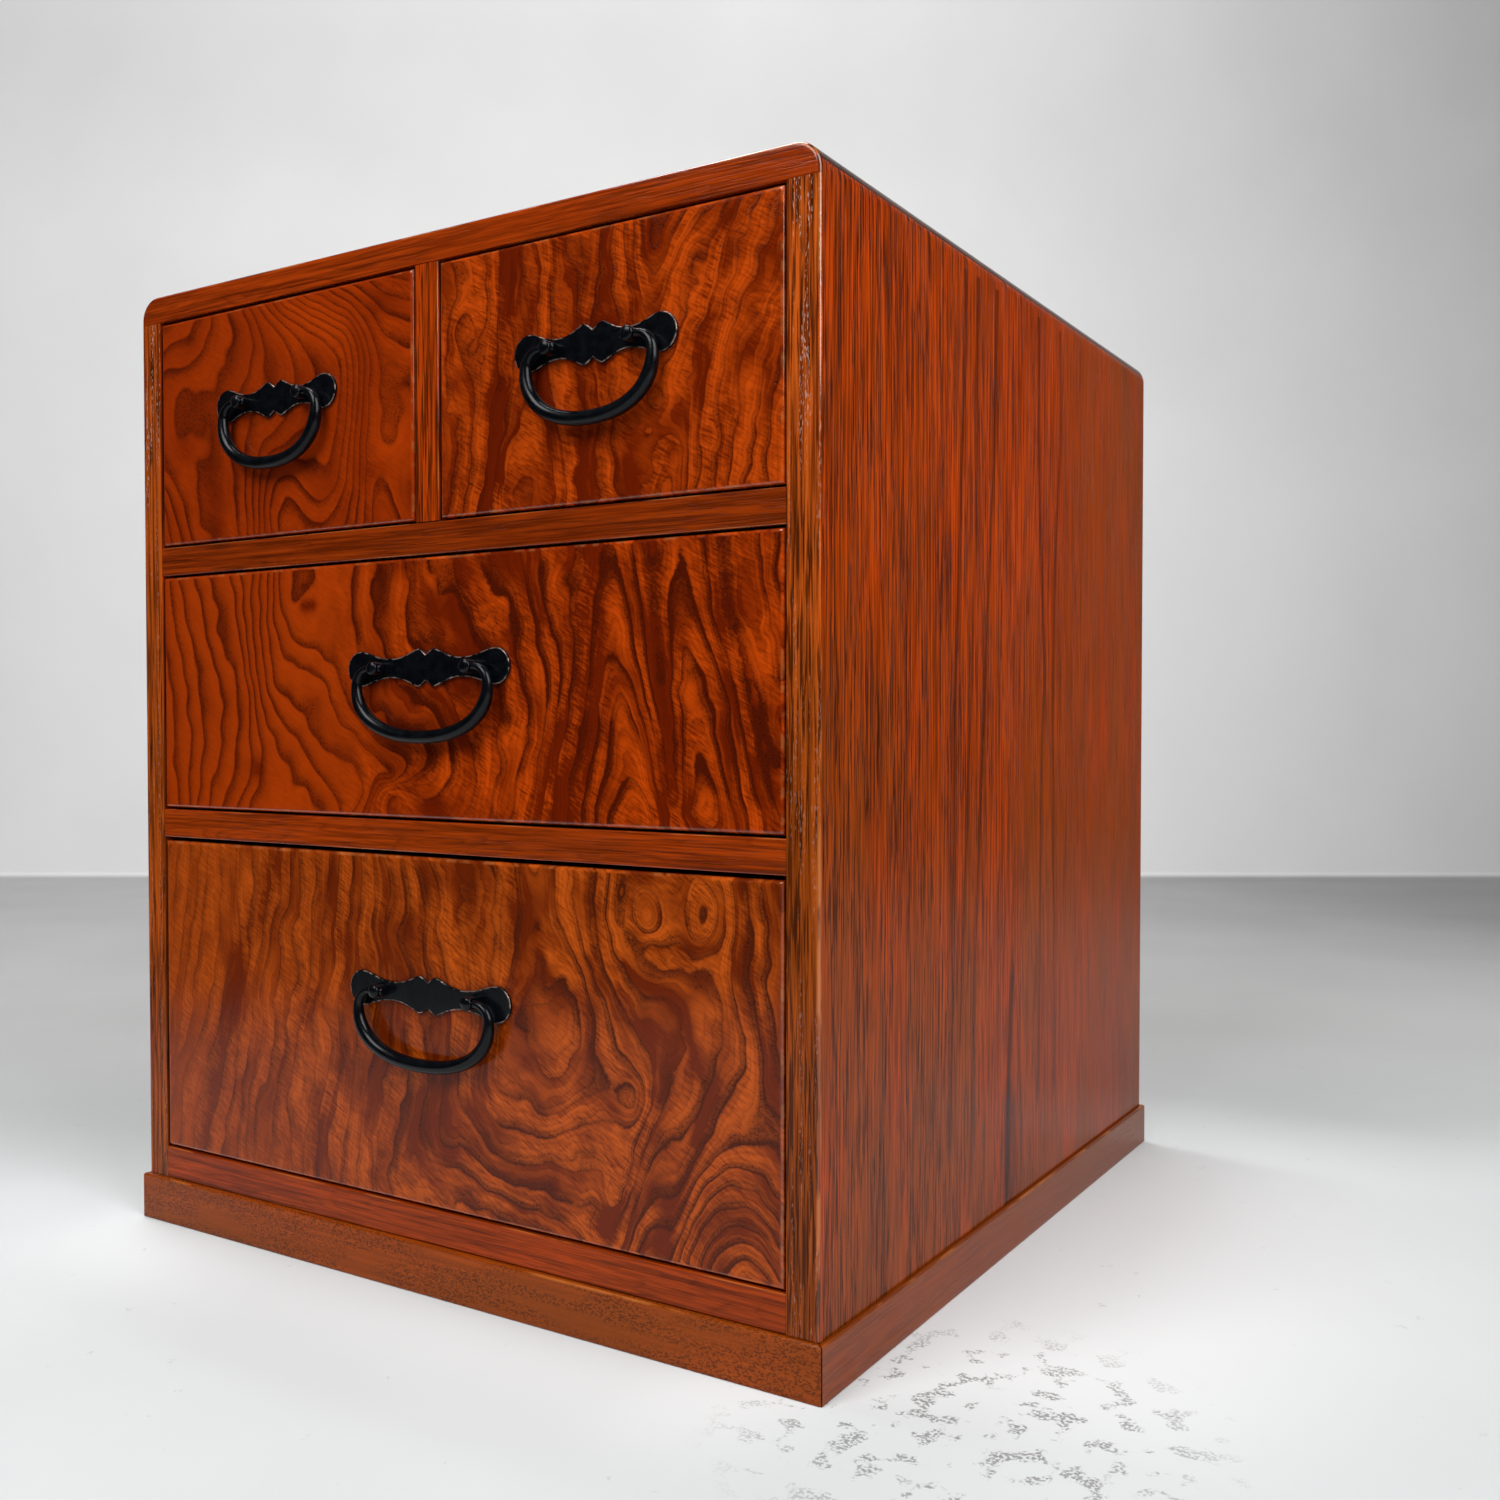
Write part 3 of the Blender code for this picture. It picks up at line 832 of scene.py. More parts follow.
@dataclass(frozen=True)
class PlainLacquer:
    """Clear gloss lacquer over straight grain: ring lines, fine fibres and open pores along the board."""

    grain: Grain
    line: Colour = (0.050, 0.0065, 0.0007)
    base: Colour = (0.150, 0.0130, 0.0008)
    bright: Colour = (0.59, 0.059, 0.0022)
    # Painted reflection haze: the duller brown colour put low down and towards the back.
    haze_brown: Colour = (0.225, 0.047, 0.0035)
    worn: Colour = (0.50, 0.15, 0.03)
    pore: Colour = (0.030, 0.0060, 0.0012)
    # Pale pore filler and painted glints share this colour.
    filler_glint: Colour = (0.62, 0.44, 0.36)
    haze_and_shade: float = 0.80
    lines: float = 0.65
    pores: float = 0.80
    filler_glints: float = 0.0
    gloss: float = 0.08
    contrast: float = 1.0
    seed: float = 0.0
    painted_falloff_step: Sides = (-0.17, 0.14, 1.0, 0.35)
    haze_low_step: Sides = (0.10, 0.38, 1.0, 0.30)
    haze_back_step: Sides = (-0.02, 0.15, 0.0, 0.9)
    wobble: Weave = Weave(190.0, 14.0)
    wobble_lift: float = 0.35
    quiver: Weave = Weave(600.0, 30.0)
    quiver_lift: float = 0.20
    patch: Weave = Weave(60.0, 9.0)
    patch_step: Sides = (0.35, 0.62, 0.25, 1.0)
    fibre: Weave = Weave(640.0, 15.0, 3.0, 0.72)
    fibre_glow: float = 6.4
    streak: Weave = Weave(240.0, 9.0)
    streak_glow: float = 0.9
    cloud: Weave = Weave(38.0, 12.0, 3.0)
    band_glow: float = 0.5
    glow: float = 0.55
    haze_cloud: Weave = Weave(30.0, 8.0)
    haze_cloud_step: Sides = (0.30, 0.60, 0.45, 1.0)
    shade_low_step: Sides = (0.03, 0.18, 0.30, 0.0)
    shade_back_step: Pair = (-0.10, 0.15)
    band_line: float = 0.6
    dash: Weave = Weave(1500.0, 48.0)
    dash_step: Pair = (0.49, 0.58)
    dashed: Weave = Weave(130.0, 20.0, 1.0)
    dashed_step: Sides = (0.34, 0.52, 0.15, 1.0)
    wear: Weave = Weave(120.0, 30.0, 3.0)
    wear_step: Pair = (0.50, 0.62)
    wear_depth: float = 0.7
    filler_glint_fleck: Weave = Weave(2300.0, 420.0, 1.0)
    filler_glint_fleck_step: Pair = (0.56, 0.66)
    filler_glint_run: Weave = Weave(420.0, 14.0)
    filler_glint_run_step: Pair = (0.52, 0.60)
    filler_glint_height: Sides = (0.28, 0.38, 0.25, 1.0)
    roughness: float = 0.13
    line_roughness: float = 0.08
    coat_roughness: float = 0.08
    relief: float = 0.00005
    fibre_relief: float = 0.2
    line_stops: ClassVar[Stops] = ((0.0, 1.0), (0.06, 0.75), (0.24, 0.32), (0.55, 0.08), (0.88, 0.12),
                                   (0.95, 0.6), (1.0, 1.0))

    def material(self, name: str) -> Material:
        """Return the finish as a material.

        The grain is boldest at the front and quietens towards the back, a painted light falloff. Low down
        and towards the back the colour is painted duller, browner and darker, for the floor's hazy
        reflection and the shade there.

        Args:
            name: the material's name.

        Returns:
            The material.
        """
        ink = Ink(name)
        rim = ink.mark("rim")
        depth, height = ink.along(Y_AXIS), ink.along(Z_AXIS)
        # Painted light falloff: grain, fibres and pores are bolder at the front and fainter towards the
        # back.
        painted_falloff = depth.rise(*self.painted_falloff_step)
        # Painted reflection haze and shade: this mask is high low down and towards the back, where the
        # colour is turned browner.
        low = height.rise(*self.haze_low_step).highest(depth.rise(*self.haze_back_step))
        wobble = ((self._noise(ink, self.wobble) - 0.5) * self.wobble_lift
                  + (self._noise(ink, self.quiver) - 0.5) * self.quiver_lift)
        line = ink.ramp((ink.mark("ring") + wobble).fraction(), self.line_stops)
        line = line * self._noise(ink, self.patch).rise(*self.patch_step) * painted_falloff
        fibre = self._noise(ink, self.fibre)
        streak = self._noise(ink, self.streak)
        glow = ((fibre - 0.5) * self.fibre_glow + (streak - 0.5) * self.streak_glow) * painted_falloff
        glow = glow + (self._noise(ink, self.cloud) - 0.5)
        glow = (glow * self.contrast + ink.mark("shade") * self.band_glow + self.glow).clip()
        colour = ink.blend(glow, self.base, self.bright)
        haze_brown = self._noise(ink, self.haze_cloud).rise(*self.haze_cloud_step) * low
        colour = ink.blend(haze_brown * self.haze_and_shade, colour, self.haze_brown)
        # Painted shade: the colour is darkened low down at the back of the board.
        low_back_shade = height.rise(*self.shade_low_step) * depth.rise(*self.shade_back_step)
        colour = ink.blend(low_back_shade * self.haze_and_shade, colour, self.line)
        dark = (line * self.lines - ink.mark("shade") * self.band_line).clip()
        colour = ink.blend(dark, colour, self.line)
        dash = self._noise(ink, self.dash).rise(*self.dash_step) * painted_falloff
        dash = dash * self._noise(ink, self.dashed).rise(*self.dashed_step)
        colour = ink.blend(dash * self.pores, colour, self.pore)
        wear = rim * self._noise(ink, self.wear).rise(*self.wear_step)
        colour = ink.blend(wear * self.wear_depth, colour, self.worn)
        # Pale pore filler and painted glints: pale flecks in dotted runs, strongest high up where the
        # highlights fall.
        if self.filler_glints:
            pale = self._noise(ink, self.filler_glint_fleck).rise(*self.filler_glint_fleck_step)
            pale = pale * self._noise(ink, self.filler_glint_run).rise(*self.filler_glint_run_step)
            colour = ink.blend(pale * height.rise(*self.filler_glint_height) * self.filler_glints, colour, self.filler_glint)
        return ink.shade({"Base Color": colour, "Roughness": self.roughness + line * self.line_roughness,
                          "Specular IOR Level": self.gloss, "Coat Weight": rim,
                          "Coat Roughness": self.coat_roughness},
                         (1.0 - dash) * (1.0 - self.fibre_relief) + fibre * self.fibre_relief, self.relief)

    def _noise(self, ink: Ink, weave: Weave) -> Value:
        """Return noise along this board's own fibres."""
        return weave.noise(ink, self.grain, self.seed)


@dataclass(frozen=True)
class BareWood:
    """Planed pale softwood of the drawer boxes, shelves and back: soft rings and fine fibres, no gloss."""

    grain: Grain
    early: Colour = (0.56, 0.38, 0.20)
    late: Colour = (0.36, 0.20, 0.085)
    bend: Weave = Weave(22.0, 3.5, 3.0)
    rings: float = 9.0
    waver: Weave = Weave(150.0, 8.0)
    waver_lift: float = 0.8
    fibre: Weave = Weave(900.0, 20.0, 2.0, 0.6)
    ring_share: float = 0.45
    fibre_share: float = 0.7
    share: float = 0.12
    roughness: float = 0.58
    fibre_roughness: float = 0.12
    gloss: float = 0.35
    relief: float = 0.00005
    line_stops: ClassVar[Stops] = ((0.0, 0.1), (0.55, 0.2), (0.9, 0.85), (1.0, 0.1))

    def material(self, name: str) -> Material:
        """Return the finish as a material.

        Args:
            name: the material's name.

        Returns:
            The material.
        """
        ink = Ink(name)
        bend, waver, fibre = (weave.noise(ink, self.grain) for weave in (self.bend, self.waver, self.fibre))
        ring = (bend * self.rings + (waver - 0.5) * self.waver_lift).fraction()
        line = ink.ramp(ring, self.line_stops)
        share = (line * self.ring_share + (fibre - 0.5) * self.fibre_share + self.share).clip()
        colour = ink.blend(share, self.early, self.late)
        return ink.shade({"Base Color": colour, "Roughness": self.roughness + fibre * self.fibre_roughness,
                          "Specular IOR Level": self.gloss}, fibre, self.relief)


@dataclass(frozen=True)
class BlackIron:
    """Blackened iron with a satin skin, rubbed bare along its edges."""

    skin: Colour = (0.0010, 0.0014, 0.0022)
    cloud: Colour = (0.0035, 0.0045, 0.0064)
    bare: Colour = (0.42, 0.30, 0.26)
    cloud_often: float = 260.0
    cloud_step: Pair = (0.3, 0.8)
    pit_often: float = 1900.0
    wear: float = 1.1
    wear_often: float = 330.0
    wear_step: Pair = (0.42, 0.64)
    metallic: float = 0.8
    roughness: float = 0.16
    cloud_roughness: float = 0.10
    gloss: float = 0.20
    pit_share: float = 0.5
    relief: float = 0.00005

    def material(self, name: str) -> Material:
        """Return the finish as a material.

        Args:
            name: the material's name.

        Returns:
            The material.
        """
        ink = Ink(name)
        cloud = ink.noise(ink.spot(self.cloud_often), 3.0)
        pit = ink.noise(ink.spot(self.pit_often))
        wear = ink.mark("rim") * self.wear * ink.noise(ink.spot(self.wear_often), 3.0).rise(*self.wear_step)
        wear = wear.clip()
        colour = ink.blend(cloud.rise(*self.cloud_step), self.skin, self.cloud)
        colour = ink.blend(wear, colour, self.bare)
        return ink.shade({"Base Color": colour, "Roughness": self.roughness + cloud * self.cloud_roughness,
                          "Metallic": wear * self.metallic, "Specular IOR Level": self.gloss},
                         pit * self.pit_share + cloud * (1.0 - self.pit_share), self.relief)


@dataclass(frozen=True)
class PalePlaster:
    """Matt pale plaster of the floor and wall, faintly speckled, with painted light falling off into the dim
    of the room.
    """

    # Painted counter-tint near the chest: a cooler colour against the red light the wood throws on the
    # floor.
    bounce_counter_tint: Colour = (0.955, 0.992, 1.0)
    far: Colour = (0.98, 0.98, 0.98)
    # Dark end of the painted light falloff.
    dim: Colour = (0.0, 0.0, 0.0)
    speck: Colour = (0.20, 0.20, 0.20)
    ahead: Triple = (-0.5267, 0.8500, 0.0)
    across: Triple = (0.8500, 0.5267, 0.0)
    before: Triple = (-0.6, -0.8, 0.0)
    wall_foot: Pair = (0.002, 0.010)
    pale_step: Pair = (-0.05, 0.40)
    cloud_often: float = 5.0
    cloud: float = 0.08
    worn_x: float = 0.225
    worn_y: float = -0.165
    worn_step: Sides = (0.001, 0.009, 1.0, 0.0)
    patch_often: float = 95.0
    worn_patch: Pair = (0.54, 0.62)
    stray_patch: Pair = (0.68, 0.74)
    stray: float = 0.35
    pit_often: float = 760.0
    pit_step: Pair = (0.46, 0.56)
    pit: float = 0.75
    # Painted light: the floor lifted beside and before the chest against its cast shadow.
    beside: float = 0.34
    close: float = 0.15
    # Painted shade: the far right corner of the floor made darker.
    corner: float = 0.30
    roughness: float = 0.70
    gloss: float = 0.2
    relief: float = 0.0002

    def material(self, name: str) -> Material:
        """Return the finish as a material.

        Args:
            name: the material's name.

        Returns:
            The material.
        """
        ink = Ink(name)
        x, y, height = (ink.along(axis) for axis in (X_AXIS, Y_AXIS, Z_AXIS))
        ahead, across = ink.along(self.ahead), ink.along(self.across)
        upright = height.rise(*self.wall_foot)
        # Painted light and shade: how pale the floor and wall look, falling off with distance.
        share = (self._painted_floor_light(ink, x, y, ahead, across) * (1.0 - upright)
                 + self._painted_wall_light(across, height) * upright)
        share = share + ink.stir(self.cloud_often, self.cloud, 4.0)
        speck = self._specks(ink, x - self.worn_x, y - self.worn_y) * (1.0 - upright)
        pale = ink.blend(ahead.rise(*self.pale_step), self.bounce_counter_tint, self.far)
        colour = ink.blend(share.clip(), self.dim, pale)
        colour = ink.blend(speck * self.pit, colour, self.speck)
        return ink.shade({"Base Color": colour, "Roughness": self.roughness,
                          "Specular IOR Level": self.gloss}, speck, self.relief)

    def _painted_floor_light(self, ink: Ink, x: Value, y: Value, ahead: Value, across: Value) -> Value:
        """Return how pale the floor is, as painted light: dimmer far off, lifted close to the chest against
        its cast shadow.

        Args:
            ink: the node writer.
            x: place across the chest.
            y: place along the chest's depth.
            ahead: place along the line of sight.
            across: place across the line of sight.

        Returns:
            The share of full paleness.
        """
        # Painted light falloff: darker far off and in the far right corner.
        far = ahead.rise(-0.06, 0.12, 0.545, 0.40) * ahead.rise(0.12, 1.2, 1.0, 0.84)
        far = far * (1.0 - ahead.rise(0.3, 1.0) * across.rise(0.3, 1.0) * self.corner)
        far = far * ink.along(self.before).rise(0.50, 0.90, 1.0, 0.10)
        # Painted light beside and before the chest, against its cast shadow.
        beside = x.rise(0.19, 0.38, 1.0, 0.0) * x.rise(0.10, 0.17)
        beside = beside * y.rise(-0.26, -0.10) * y.rise(0.14, 0.30, 1.0, 0.0)
        close = y.rise(-0.26, -0.185) * y.rise(-0.12, 0.0, 1.0, 0.0)
        close = close * x.rise(-0.22, -0.12) * x.rise(0.12, 0.20, 1.0, 0.0)
        return far + beside * self.beside + close * self.close

    def _specks(self, ink: Ink, x: Value, y: Value) -> Value:
        """Return where the plaster is pitted: thickly about one worn spot, thinly elsewhere.

        Args:
            ink: the node writer.
            x: place from the worn spot across the chest.
            y: place from the worn spot along the chest's depth.

        Returns:
            The pitting, 0 to 1.
        """
        worn = (x * x + y * y).rise(*self.worn_step)
        cloud = ink.noise(ink.spot(self.patch_often), 4.0)
        patch = cloud.rise(*self.worn_patch) * worn + cloud.rise(*self.stray_patch) * self.stray
        return ink.noise(ink.spot(self.pit_often)).rise(*self.pit_step) * patch.clip()

    @staticmethod
    def _painted_wall_light(across: Value, height: Value) -> Value:
        """Return how pale the wall is, as painted light: dimmer to the right, and to the left high up.

        Args:
            across: place across the line of sight.
            height: over the floor.

        Returns:
            The share of full paleness.
        """
        wall = across.rise(0.2, 1.5, 0.85, 0.55) * across.rise(1.15, 1.7, 1.0, 0.30)
        wall = wall * across.rise(-1.3, 0.0, 0.94, 1.0)
        wall = wall * (1.0 - height.rise(0.9, 1.25) * across.rise(-0.9, 0.5, 0.16, 0.0))
        return wall * height.rise(0.35, 1.25, 1.0, 0.76)


def dress(piece: bpy.types.Object, material: Material, body: str, nodes: tuple[str, ...]) -> None:
    """Give a piece its finish, its body and the solids it stands for, and report it.

    Args:
        piece: the new piece.
        material: its finish.
        body: the body it rides on.
        nodes: the solids it replaces.
    """
    piece.data.materials.append(material)
    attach(piece, body)
    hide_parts(*nodes)
    LOG.info("%s: %d faces on %s", piece.name, len(piece.data.polygons), body)


def dress_node(node: str, finish: Material) -> None:
    """Give a solid that stays as it is a better finish, and report it.

    Args:
        node: the solid.
        finish: its material.
    """
    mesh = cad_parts[node].data
    mesh.materials.clear()
    mesh.materials.append(finish)
    LOG.info("%s: kept, dressed in %s", node, finish.name)


def node_box(node: str) -> tuple[Array, Array]:
    """Return a solid's lowest and highest corners as arrays."""
    low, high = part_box(node)
    return np.array(low, float), np.array(high, float)


UPRIGHT_SIDE = Figure(
    pitch=2.9, edge_pitch=3.0, ripples=(Ripple(60.0, 1.0, 9.0, 3), Ripple(17.0, 0.3, 12.0, 4)),
    bands=streaks(
        (1.6, -0.9, -57, 405, -61, 324, -67, 216, -70, 55),
        (1.4, -0.8, -45, 405, -46, 310, -50, 249, -57, 149, -61, 97),
        (1.6, -0.9, -25, 405, -28, 333, -36, 249, -41, 185, -46, 141, -48, 69, -52, 27),
        (1.4, -0.8, 23, 405, 25, 324, 32, 249, 29, 208, 26, 55),
        (1.4, -0.8, 50, 405, 51, 352, 44, 291, 43, 235, 47, 55),
        (2.2, -1.2, -5, 122, -8, 90, -10, 60, -11, 22), (4.6, -0.8, -8, 66, -9, 22),
        (3.0, -0.5, -3, 60, -2, 22), (0.8, -0.9, -5, 122, 1, 97, 6, 47, 7, 22)))
LEVEL_BOARD = Figure(pitch=6.0, edge_pitch=5.0,
                     ripples=(Ripple(8.0, 0.9, 9.0, 5), Ripple(3.0, 0.2, 12.0, 6)))


@dataclass
class Case:
    """Top, sides, rails, partition and plinth in straight-grained lacquered wood."""

    edge: float = 0.0015
    top_radius: float = 0.010
    top_steps: int = 220
    end_reach: float = 6.0
    end_turn: float = 0.35
    curve_turn: float = 0.38
    stile_turn: float = -0.6
    side_steps: int = 5
    rail_edge: float = 0.0005
    rail_chords: int = 4
    rail_gap: float = 0.0002
    plinth_edge: float = 0.0010
    plinth_sides: Sides = (0.0, 0.0, 0.4, 1.0)
    across_pitch: float = 0.0016
    along_pitch: float = 0.0080
    gap: float = 0.0003

    def build(self) -> None:
        """Build and dress every board of the case."""
        upright = PlainLacquer(Grain.UPRIGHT).material("case_side_lacquer")
        # The stile's pale flecks are pore filler and painted glints.
        stile = PlainLacquer(Grain.UPRIGHT, base=(0.180, 0.0235, 0.0027), bright=(0.66, 0.114, 0.0110),
                             filler_glints=0.7, gloss=0.12, seed=1.1).material("case_stile_lacquer")
        rail = PlainLacquer(Grain.LEVEL, base=(0.140, 0.0130, 0.0007), bright=(0.41, 0.046, 0.0028),
                            lines=0.4, pores=0.35, haze_and_shade=0.25, gloss=0.14, contrast=0.62, seed=2.3)
        level = rail.material("case_level_lacquer")
        # Painted shade: a darker copy of the rail finish for the upper rail.
        shaded = replace(rail, base=(0.110, 0.0105, 0.0006), bright=(0.31, 0.036, 0.0022))
        # Painted shade: a near-black finish for the upward-facing curve of the top's ends.
        end = PlainLacquer(Grain.INWARD, base=(0.032, 0.0085, 0.0026), bright=(0.080, 0.0200, 0.0065),
                           haze_and_shade=0.0, gloss=0.03, seed=3.3).material("top_curve_painted_shade")
        foot = PlainLacquer(Grain.LEVEL, base=(0.185, 0.0250, 0.0016), bright=(0.43, 0.070, 0.0050),
                            lines=0.12, pores=0.55, dash=Weave(1500.0, 800.0), contrast=0.35, gloss=0.14,
                            seed=5.2)
        ankle = PlainLacquer(Grain.INWARD, base=(0.130, 0.0150, 0.0012), bright=(0.29, 0.040, 0.0030),
                             lines=0.12, pores=0.30, contrast=0.30, gloss=0.14, seed=4.1)
        self.build_top(level, upright, end)
        for hand, facing in (("right", Facing.RIGHT), ("left", Facing.LEFT)):
            self.build_side(hand, facing, upright, stile)
        for node, finish in (("bottom_rail", level), ("lower_rail", level),
                             ("upper_rail", shaded.material("upper_rail_shaded_lacquer"))):
            self.build_rail(node, finish)
        self.build_partition(upright)
        self.build_plinth(foot.material("plinth_front_lacquer"), ankle.material("plinth_side_lacquer"))

    def build_top(self, finish: Material, side: Material, end: Material) -> None:
        """Top panel: its rounded end profile carried from front to back, rebated there for the back panel.

        Args:
            finish: material of its flat faces.
            side: material of the lower part of its ends, as the sides have.
            end: material of the painted shade, a dark band on the upward-facing curve above.
        """
        low, high = node_box("top_panel")
        back_low, back_high = node_box("back_panel")
        outline = RoundedEnds((low[0], low[2]), (high[0], high[2]), (self.along_pitch, self.across_pitch),
                              self.top_radius, back_high[0] + self.edge)
        deep = high[1] - low[1]
        step = back_low[1] - self.gap - low[1]
        rise = back_high[2] + self.gap - low[2]
        front = round_over(self.edge, (1.0, 1.0, 0.0, 1.0))
        stations = front + [Station(NO_SIDES, depth)
                            for depth in np.linspace(self.edge, step, self.top_steps)[1:]]
        stations.append(Station((0.0, 0.0, rise, 0.0), step))
        stations += [Station((*s.inset[:2], rise, s.inset[3]), deep - s.depth, s.rim)
                     for s in reversed(front)]
        piece = slab(outline, stations, Facing.FRONT, low[1]).finish("chest_top")
        LEVEL_BOARD.mark(piece, 1, 0)
        x, y, z = (read_triples(piece.data.vertices, "co") / MM).T
        ring = piece.data.attributes["ring"].data
        flat = np.empty(len(x), np.float32)
        ring.foreach_get("value", flat)
        upright = UPRIGHT_SIDE.rings(y, z) + x / UPRIGHT_SIDE.edge_pitch
        at_end = np.abs(x) > high[0] / MM - self.end_reach
        ring.foreach_set("value", np.where(at_end, upright, flat).astype(np.float32))
        dress(piece, finish, "case", ("top_panel",))
        piece.data.materials.append(side)
        piece.data.materials.append(end)
        normals = read_triples(piece.data.polygons, "normal")
        # End faces that turn upwards get the painted shade.
        ends = np.abs(normals[:, 0]) > self.end_turn
        curve = ends & (normals[:, 2] > self.curve_turn)
        piece.data.polygons.foreach_set("material_index", np.where(curve, 2, np.where(ends, 1, 0)))

    def build_side(self, hand: str, facing: Facing, finish: Material, stile: Material) -> None:
        """Side panel: a rectangle with its upright outer edges rounded over and a rebate for the back panel.

        Args:
            hand: which side.
            facing: its outer side.
            finish: its material.
            stile: material of its front edge.
        """
        node = f"side_panel_{hand}"
        across, up, inward = facing.spans(*node_box(node))
        under_top = node_box("top_panel")[0][2]
        outline = Panel((across[0], up[0]), (across[1], under_top), (self.across_pitch, self.along_pitch))
        back_low, back_high = node_box("back_panel")
        step = facing.spans(back_low, back_high)[2][0] - inward[0] - self.gap
        lap = back_high[1] - back_low[1] + self.gap
        rebate = (0.0, lap, 0.0, 0.0) if facing is Facing.RIGHT else (lap, 0.0, 0.0, 0.0)
        stations = round_over(self.edge, ENDS)
        stations += [Station(NO_SIDES, depth)
                     for depth in np.linspace(self.edge, step, self.side_steps)[1:]]
        stations += [Station(rebate, depth)
                     for depth in np.linspace(step, inward[1] - inward[0], self.side_steps)]
        piece = slab(outline, stations, facing, inward[0]).finish(f"side_board_{hand}")
        UPRIGHT_SIDE.mark(piece, 1, 2)
        dress(piece, finish, "case", (node,))
        piece.data.materials.append(stile)
        at_front = read_triples(piece.data.polygons, "normal")[:, 1] < self.stile_turn
        piece.data.polygons.foreach_set("material_index", at_front.astype(np.int32))

    def build_rail(self, node: str, finish: Material) -> None:
        """Front rail: a bar with eased front edges, its end tongues left inside the sides.

        Args:
            node: the solid it stands for.
            finish: its material.
        """
        low, high = node_box(node)
        inner = node_box("side_panel_right")[0][0] - self.rail_gap
        outline = Panel((-inner, low[2]), (inner, high[2]), (self.along_pitch, self.across_pitch))
        piece = self._bar(outline, LONG_SIDES, low[1], high[1]).finish(f"{node}_bar")
        LEVEL_BOARD.mark(piece, 2, 0)
        dress(piece, finish, "case", (node,))

    def build_partition(self, finish: Material) -> None:
        """Upright board between the two top drawers, its front edges eased.

        Args:
            finish: its material.
        """
        low, high = node_box("centre_partition")
        outline = Panel((low[0], low[2]), (high[0], high[2]), (self.across_pitch, self.along_pitch))
        piece = self._bar(outline, ENDS, low[1], high[1]).finish("partition_board")
        UPRIGHT_SIDE.mark(piece, 0, 2)
        dress(piece, finish, "case", ("centre_partition",))

    def _bar(self, outline: Panel, sides: Sides, front: float, back: float) -> Skin:
        """Return the surface of a straight bar with some of its front edges eased."""
        stations = round_over(self.rail_edge, sides, self.rail_chords) + [Station(NO_SIDES, back - front)]
        return slab(outline, stations, Facing.FRONT, front)

    def build_plinth(self, level: Material, inward: Material) -> None:
        """Four mitred plinth boards: each end is drawn in as far as it is deep.

        Args:
            level: finish of the front and back boards.
            inward: finish of the side boards.
        """
        for facing in (Facing.FRONT, Facing.BACK, Facing.RIGHT, Facing.LEFT):
            node = f"plinth_{facing.name.lower()}"
            long_side = facing in (Facing.FRONT, Facing.BACK)
            across, up, depth = facing.spans(*node_box(node))
            outline = Panel((across[0], up[0]), (across[1], up[1]), (self.along_pitch, self.across_pitch))
            thick = depth[1] - depth[0]
            stations = [Station((s.depth, s.depth, s.inset[2], s.inset[3]), s.depth, s.rim)
                        for s in round_over(self.plinth_edge, self.plinth_sides)]
            stations.append(Station((thick, thick, 0.0, 0.0), thick))
            piece = slab(outline, stations, facing, depth[0]).finish(f"{node}_board")
            LEVEL_BOARD.mark(piece, 2, 0 if long_side else 1)
            dress(piece, level if long_side else inward, "case", (node,))


